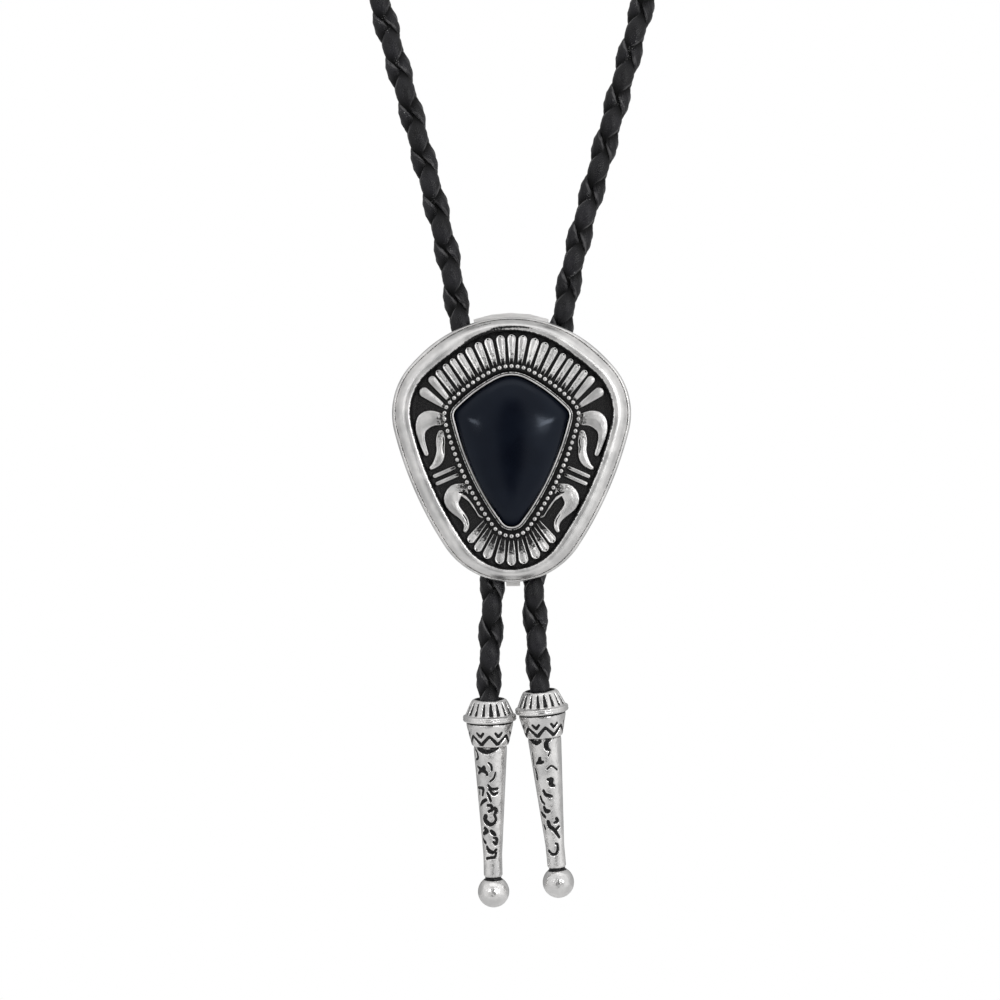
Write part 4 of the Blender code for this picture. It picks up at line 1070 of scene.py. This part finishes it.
def make_braid(material, line):
    """Four strands, with values that their leather reads.

    across is -1 to 1 over a strand's width, along is the distance on the cord, strand is its number and
    over is 1 where it lies outside the others and 0 where it dives under them.
    """
    distance, *ways = line
    radius = CORD_RADIUS - STRAND_THICKNESS / 2 + STRAND_SPREAD
    rate = 2 * math.pi / STRAND_TURN
    lean = math.atan(radius * rate)
    turns = even_turns(STRAND_SIDES)
    across = signed_power(np.cos(turns), STRAND_FLATNESS)
    lift = signed_power(np.sin(turns), STRAND_SQUARENESS) * STRAND_THICKNESS / 2
    lift = lift - STRAND_EDGE_DROP * np.abs(across) ** STRAND_DROP_POWER
    shift = across * STRAND_WIDTH / 2
    from_start = distance - STRAND_START
    for number in range(4):
        hand = 1 if number % 2 else -1
        wave = hand * np.cos(2 * rate * from_start)
        place = np.clip(distance[:, None] - hand * math.sin(lean) * shift, 0, distance[-1])
        turn = (number // 2) * math.pi + hand * rate * from_start[:, None]
        turn = turn + math.cos(lean) * shift / radius
        outward = (radius - STRAND_WEAVE + STRAND_WEAVE * wave)[:, None] + lift
        middle, front, beside = (read_along(place, distance, way) for way in ways)
        around = np.cos(turn)[..., None] * front + np.sin(turn)[..., None] * beside
        make_piece(f"cord_strand_{number + 1}", material, "black_leather",
                   middle + outward[..., None] * around, tube_faces(len(distance), STRAND_SIDES),
                   None if number else "cord", across=np.broadcast_to(across, place.shape), along=place,
                   strand=number, over=np.repeat((1 + wave) / 2, STRAND_SIDES))


# Tips

def tip_heights():
    """The heights where one form of a tip ends and the next begins."""
    ring_top = TIP_SOCKET_DEPTH - COLLAR_HEIGHT
    ring_low = ring_top - COLLAR_RING
    cup_top = ring_low - GAP
    cup_low = cup_top - CUP_HEIGHT
    ball_middle = TIP_SOCKET_DEPTH - TIP_LENGTH + BALL_RADIUS
    neck = ball_middle + math.sqrt(BALL_RADIUS ** 2 - TIP_RADII["neck"] ** 2)
    return {
        "top": TIP_SOCKET_DEPTH, "ring_top": ring_top, "ring": ring_top - COLLAR_RING / 2,
        "ring_low": ring_low, "cup_top": cup_top, "cup_low": cup_low, "shaft_top": cup_low - 2 * GAP,
        "neck_top": neck + NECK_HEIGHT, "neck": neck, "ball": ball_middle,
    }


TIP_AT = tip_heights()


def tip_profile():
    """Fine half section of a tip as rows of radius, height and oxide, from the socket to the ball."""
    keys = [
        (TIP_RADII[radius] + wider / 1000, TIP_AT[height] + higher / 1000, oxide)
        for radius, wider, height, higher, oxide in TIP_SECTION
    ]
    start = math.asin(TIP_RADII["neck"] / BALL_RADIUS)
    for turn in np.linspace(start, math.pi, BALL_ROWS)[1:]:
        oxide = BALL_TOP_OXIDE if turn < start + BALL_TOP_TURN else 0.0
        keys.append((BALL_RADIUS * math.sin(turn), TIP_AT["ball"] + BALL_RADIUS * math.cos(turn), oxide))
    keys = np.array(keys)
    along = lengths_along(keys[:, :2])
    return read_along(np.linspace(0, along[-1], round(along[-1] / TIP_ROW_STEP)), along, keys)


def wrapped(turn):
    return (turn + math.pi) % (2 * math.pi) - math.pi


def rolled(strokes):
    """Strokes of a shaft as the front shows them, laid round it: out becomes a length on its surface."""
    run = (TIP_AT["cup_low"] - TIP_AT["neck"]) * 1000
    taper = (TIP_RADII["shaft_end"] - TIP_RADII["shaft_top"]) / run
    laid = []
    for stroke in strokes:
        out, down, half = np.array(stroke).T
        radius = 1000 * (TIP_RADII["shaft_top"] + taper * down)
        out = radius * np.arcsin(np.clip(out / radius, -ROLL_LIMIT, ROLL_LIMIT))
        laid.append(smooth_table(np.stack([out, down, half], axis=1), 3 * len(stroke)))
    return laid


def rib_share(height, turn, turned):
    """How deep each point lies in a groove between the collar's ribs, from 0 to 1."""
    rib = np.abs(wrapped((turn - turned) * COLLAR_RIBS)) / math.pi
    width = RIB_WIDTH + RIB_WIDTH_CHANGE * np.sin(turn * RIB_WIDTH_WAVES + 1.0)
    down = (TIP_AT["top"] - height) / COLLAR_HEIGHT
    share = smooth_step(width * (RIB_TOP_SHARE + (1 - RIB_TOP_SHARE) * down) - rib, *RIB_RAMP)
    share *= smooth_step(height - TIP_AT["ring_top"], *RIB_FOOT_RAMP)
    return share * smooth_step(TIP_AT["top"] - height, *RIB_HEAD_RAMP)


def carved_share(radius, height, turn, scrolls, turned):
    """How deep each point is cut by the cup's zigzag or the shaft's scrolls, from 0 to 1."""
    tooth = 2 * math.pi / ZIGZAG_TEETH
    along = (wrapped(turn - turned) + tooth / 2) % tooth - tooth / 2
    length = tooth * TIP_RADII["cup_low"] * CUP_GIRTH * 1000
    teeth = [
        [(share * length, down, half) for share, down, half in line] for line in (CUP_ZIGZAG, CUP_MARK)
    ]
    zigzag, _ = stroke_field(along / tooth * length, (TIP_AT["cup_top"] - height) * 1000, teeth)
    front = np.where(np.abs(turn) < math.pi / 2, turn, wrapped(turn + math.pi))
    marks, _ = stroke_field(front * radius * 1000, (TIP_AT["cup_low"] - height) * 1000, rolled(scrolls))
    cup = (height < TIP_AT["cup_top"]) & (height > TIP_AT["cup_low"] + CUP_MARGIN)
    shaft = (height < TIP_AT["cup_low"] - SHAFT_MARGIN) & (height > TIP_AT["neck"])
    carved = np.where(cup, smooth_step(zigzag, *MARK_RAMP), 0)
    return np.where(shaft, smooth_step(marks + MARK_SPREAD, *MARK_RAMP), carved)


def make_tip(tip, material):
    profile = tip_profile()
    turns = even_turns(TIP_SIDES)
    radius, height, oxide = (np.repeat(values[:, None], TIP_SIDES, axis=1) for values in profile.T)
    turn = np.repeat(turns[None, :], len(profile), axis=0)
    seen = wrapped(turn + math.pi)
    turned = math.radians(tip["turned"])
    outside = np.cumsum(profile[:, 1] >= TIP_AT["top"])[:, None] > 0
    carved = carved_share(radius, height, seen, tip["scrolls"], turned) * outside
    ribs = rib_share(height, seen, turned) * outside
    deep = radius - carved * PIT_DEPTH - ribs * RIB_GROOVE_DEPTH
    points = np.stack([deep * np.cos(turn), deep * np.sin(turn), height], axis=-1)
    end = Vector(CORD_ROUTE[tip["end"]])
    axis = (Vector(CORD_ROUTE[tip["before"]]) - end).normalized()
    front = (Vector((0, -1, 0)) - axis * Vector((0, -1, 0)).dot(axis)).normalized()
    upright = Matrix((front.cross(axis), front, axis)).transposed()
    place = np.array(upright @ Matrix.Rotation(-math.pi / 2, 3, "Z"))
    points = points.reshape(-1, 3) @ place.T + np.array(end - axis * GAP)
    faces = [face[::-1] for face in band_quads(len(profile), TIP_SIDES).tolist()]
    faces.append(list(range(TIP_SIDES)))
    make_piece(tip["name"], material, "antique_silver", points, faces, tip["node"],
               oxide=np.maximum(oxide, CARVED_OXIDE * np.maximum(carved, ribs)))


# Light, floor and camera

def aim(item, place, target):
    item.location = place
    way = Vector(target) - Vector(place)
    item.rotation_euler = way.to_track_quat("-Z", "Y").to_euler()


def make_lights():
    middle = Vector((0, SLIDE_BACK_Y, SLIDE_MIDDLE_Z))
    for row in LIGHTS:
        data = bpy.data.lights.new(row["name"], "AREA")
        data.shape = "RECTANGLE"
        data.size = row["width"]
        data.size_y = row["height"]
        data.energy = row["power"]
        item = add_object(row["name"], data)
        item.visible_camera = False
        aim(item, middle + Vector(row["place"]), middle)


def make_world():
    """White behind the object. Its reflections see two soft sides with a dim gap straight ahead."""
    world = bpy.data.worlds.new("studio")
    bpy.context.scene.world = world
    world.use_nodes = True
    world.node_tree.nodes.clear()
    tree = Nodes(world.node_tree)
    generated = tree.add("TexCoord", {})["Generated"]
    across, depth, up = tree.add("SeparateXYZ", {0: generated})
    ways = {"across": across, "away": tree.math("ABSOLUTE", across), "depth": depth, "up": up}
    sides, gaps, ends = (
        [tree.ramp(ways[name], *levels) for name, *levels in rows]
        for rows in (WORLD_SIDES, WORLD_GAP, WORLD_ENDS)
    )
    open_share = tree.math("SUBTRACT", 1.0, tree.product(*gaps, GAP_DIMNESS))
    level = tree.total(tree.product(*sides, open_share), *ends)
    inputs = {
        0: tree.add("LightPath", {})["Is Camera Ray"],
        1: tree.add("Background", {"Strength": level})[0],
        2: tree.add("Background", {"Color": BACKGROUND_WHITE})[0],
    }
    tree.add("OutputWorld", {"Surface": tree.add("MixShader", inputs)[0]})


def make_floor():
    rim = []
    for turn in even_turns(FLOOR_SIDES):
        out = FLOOR_RADIUS * direction(turn)
        rim.append((out.x, out.y + FLOOR_MIDDLE_Y, FLOOR_Z))
    mesh = bpy.data.meshes.new("floor")
    mesh.from_pydata(rim, [], [list(range(len(rim)))])
    mesh.materials.append(Finish("floor").surface(Base_Color=FLOOR_GREY, Roughness=FLOOR_ROUGHNESS))
    item = add_object("floor", mesh)


def make_camera():
    data = bpy.data.cameras.new("camera")
    data.sensor_width = SENSOR_WIDTH
    data.lens = SENSOR_WIDTH * CAMERA_DISTANCE / PHOTO_WIDTH
    data.clip_start = CLIP_START
    item = add_object("camera", data)
    bpy.context.scene.camera = item
    target = Vector((PHOTO_MIDDLE_X, PHOTO_PLANE_Y, PHOTO_MIDDLE_Z))
    aim(item, target - Vector((0, CAMERA_DISTANCE, 0)), target)


def main():
    bpy.context.scene.view_settings.view_transform = "Standard"
    make_camera()
    rim_silver, relief_silver, tip_silver = (make_silver(**row) for row in SILVERS)
    make_slide_body(rim_silver)
    make_relief(relief_silver)
    make_granules(relief_silver)
    make_stone(make_stone_finish())
    line = cord_line()
    leather = make_leather()
    make_braid(leather, line)
    make_core(leather, line)
    for tip in TIPS:
        make_tip(tip, tip_silver)
    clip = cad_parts["clip_back"]
    clip.data.materials.clear()
    clip.data.materials.append(make_clip_finish())
    make_world()
    make_lights()
    make_floor()


main()
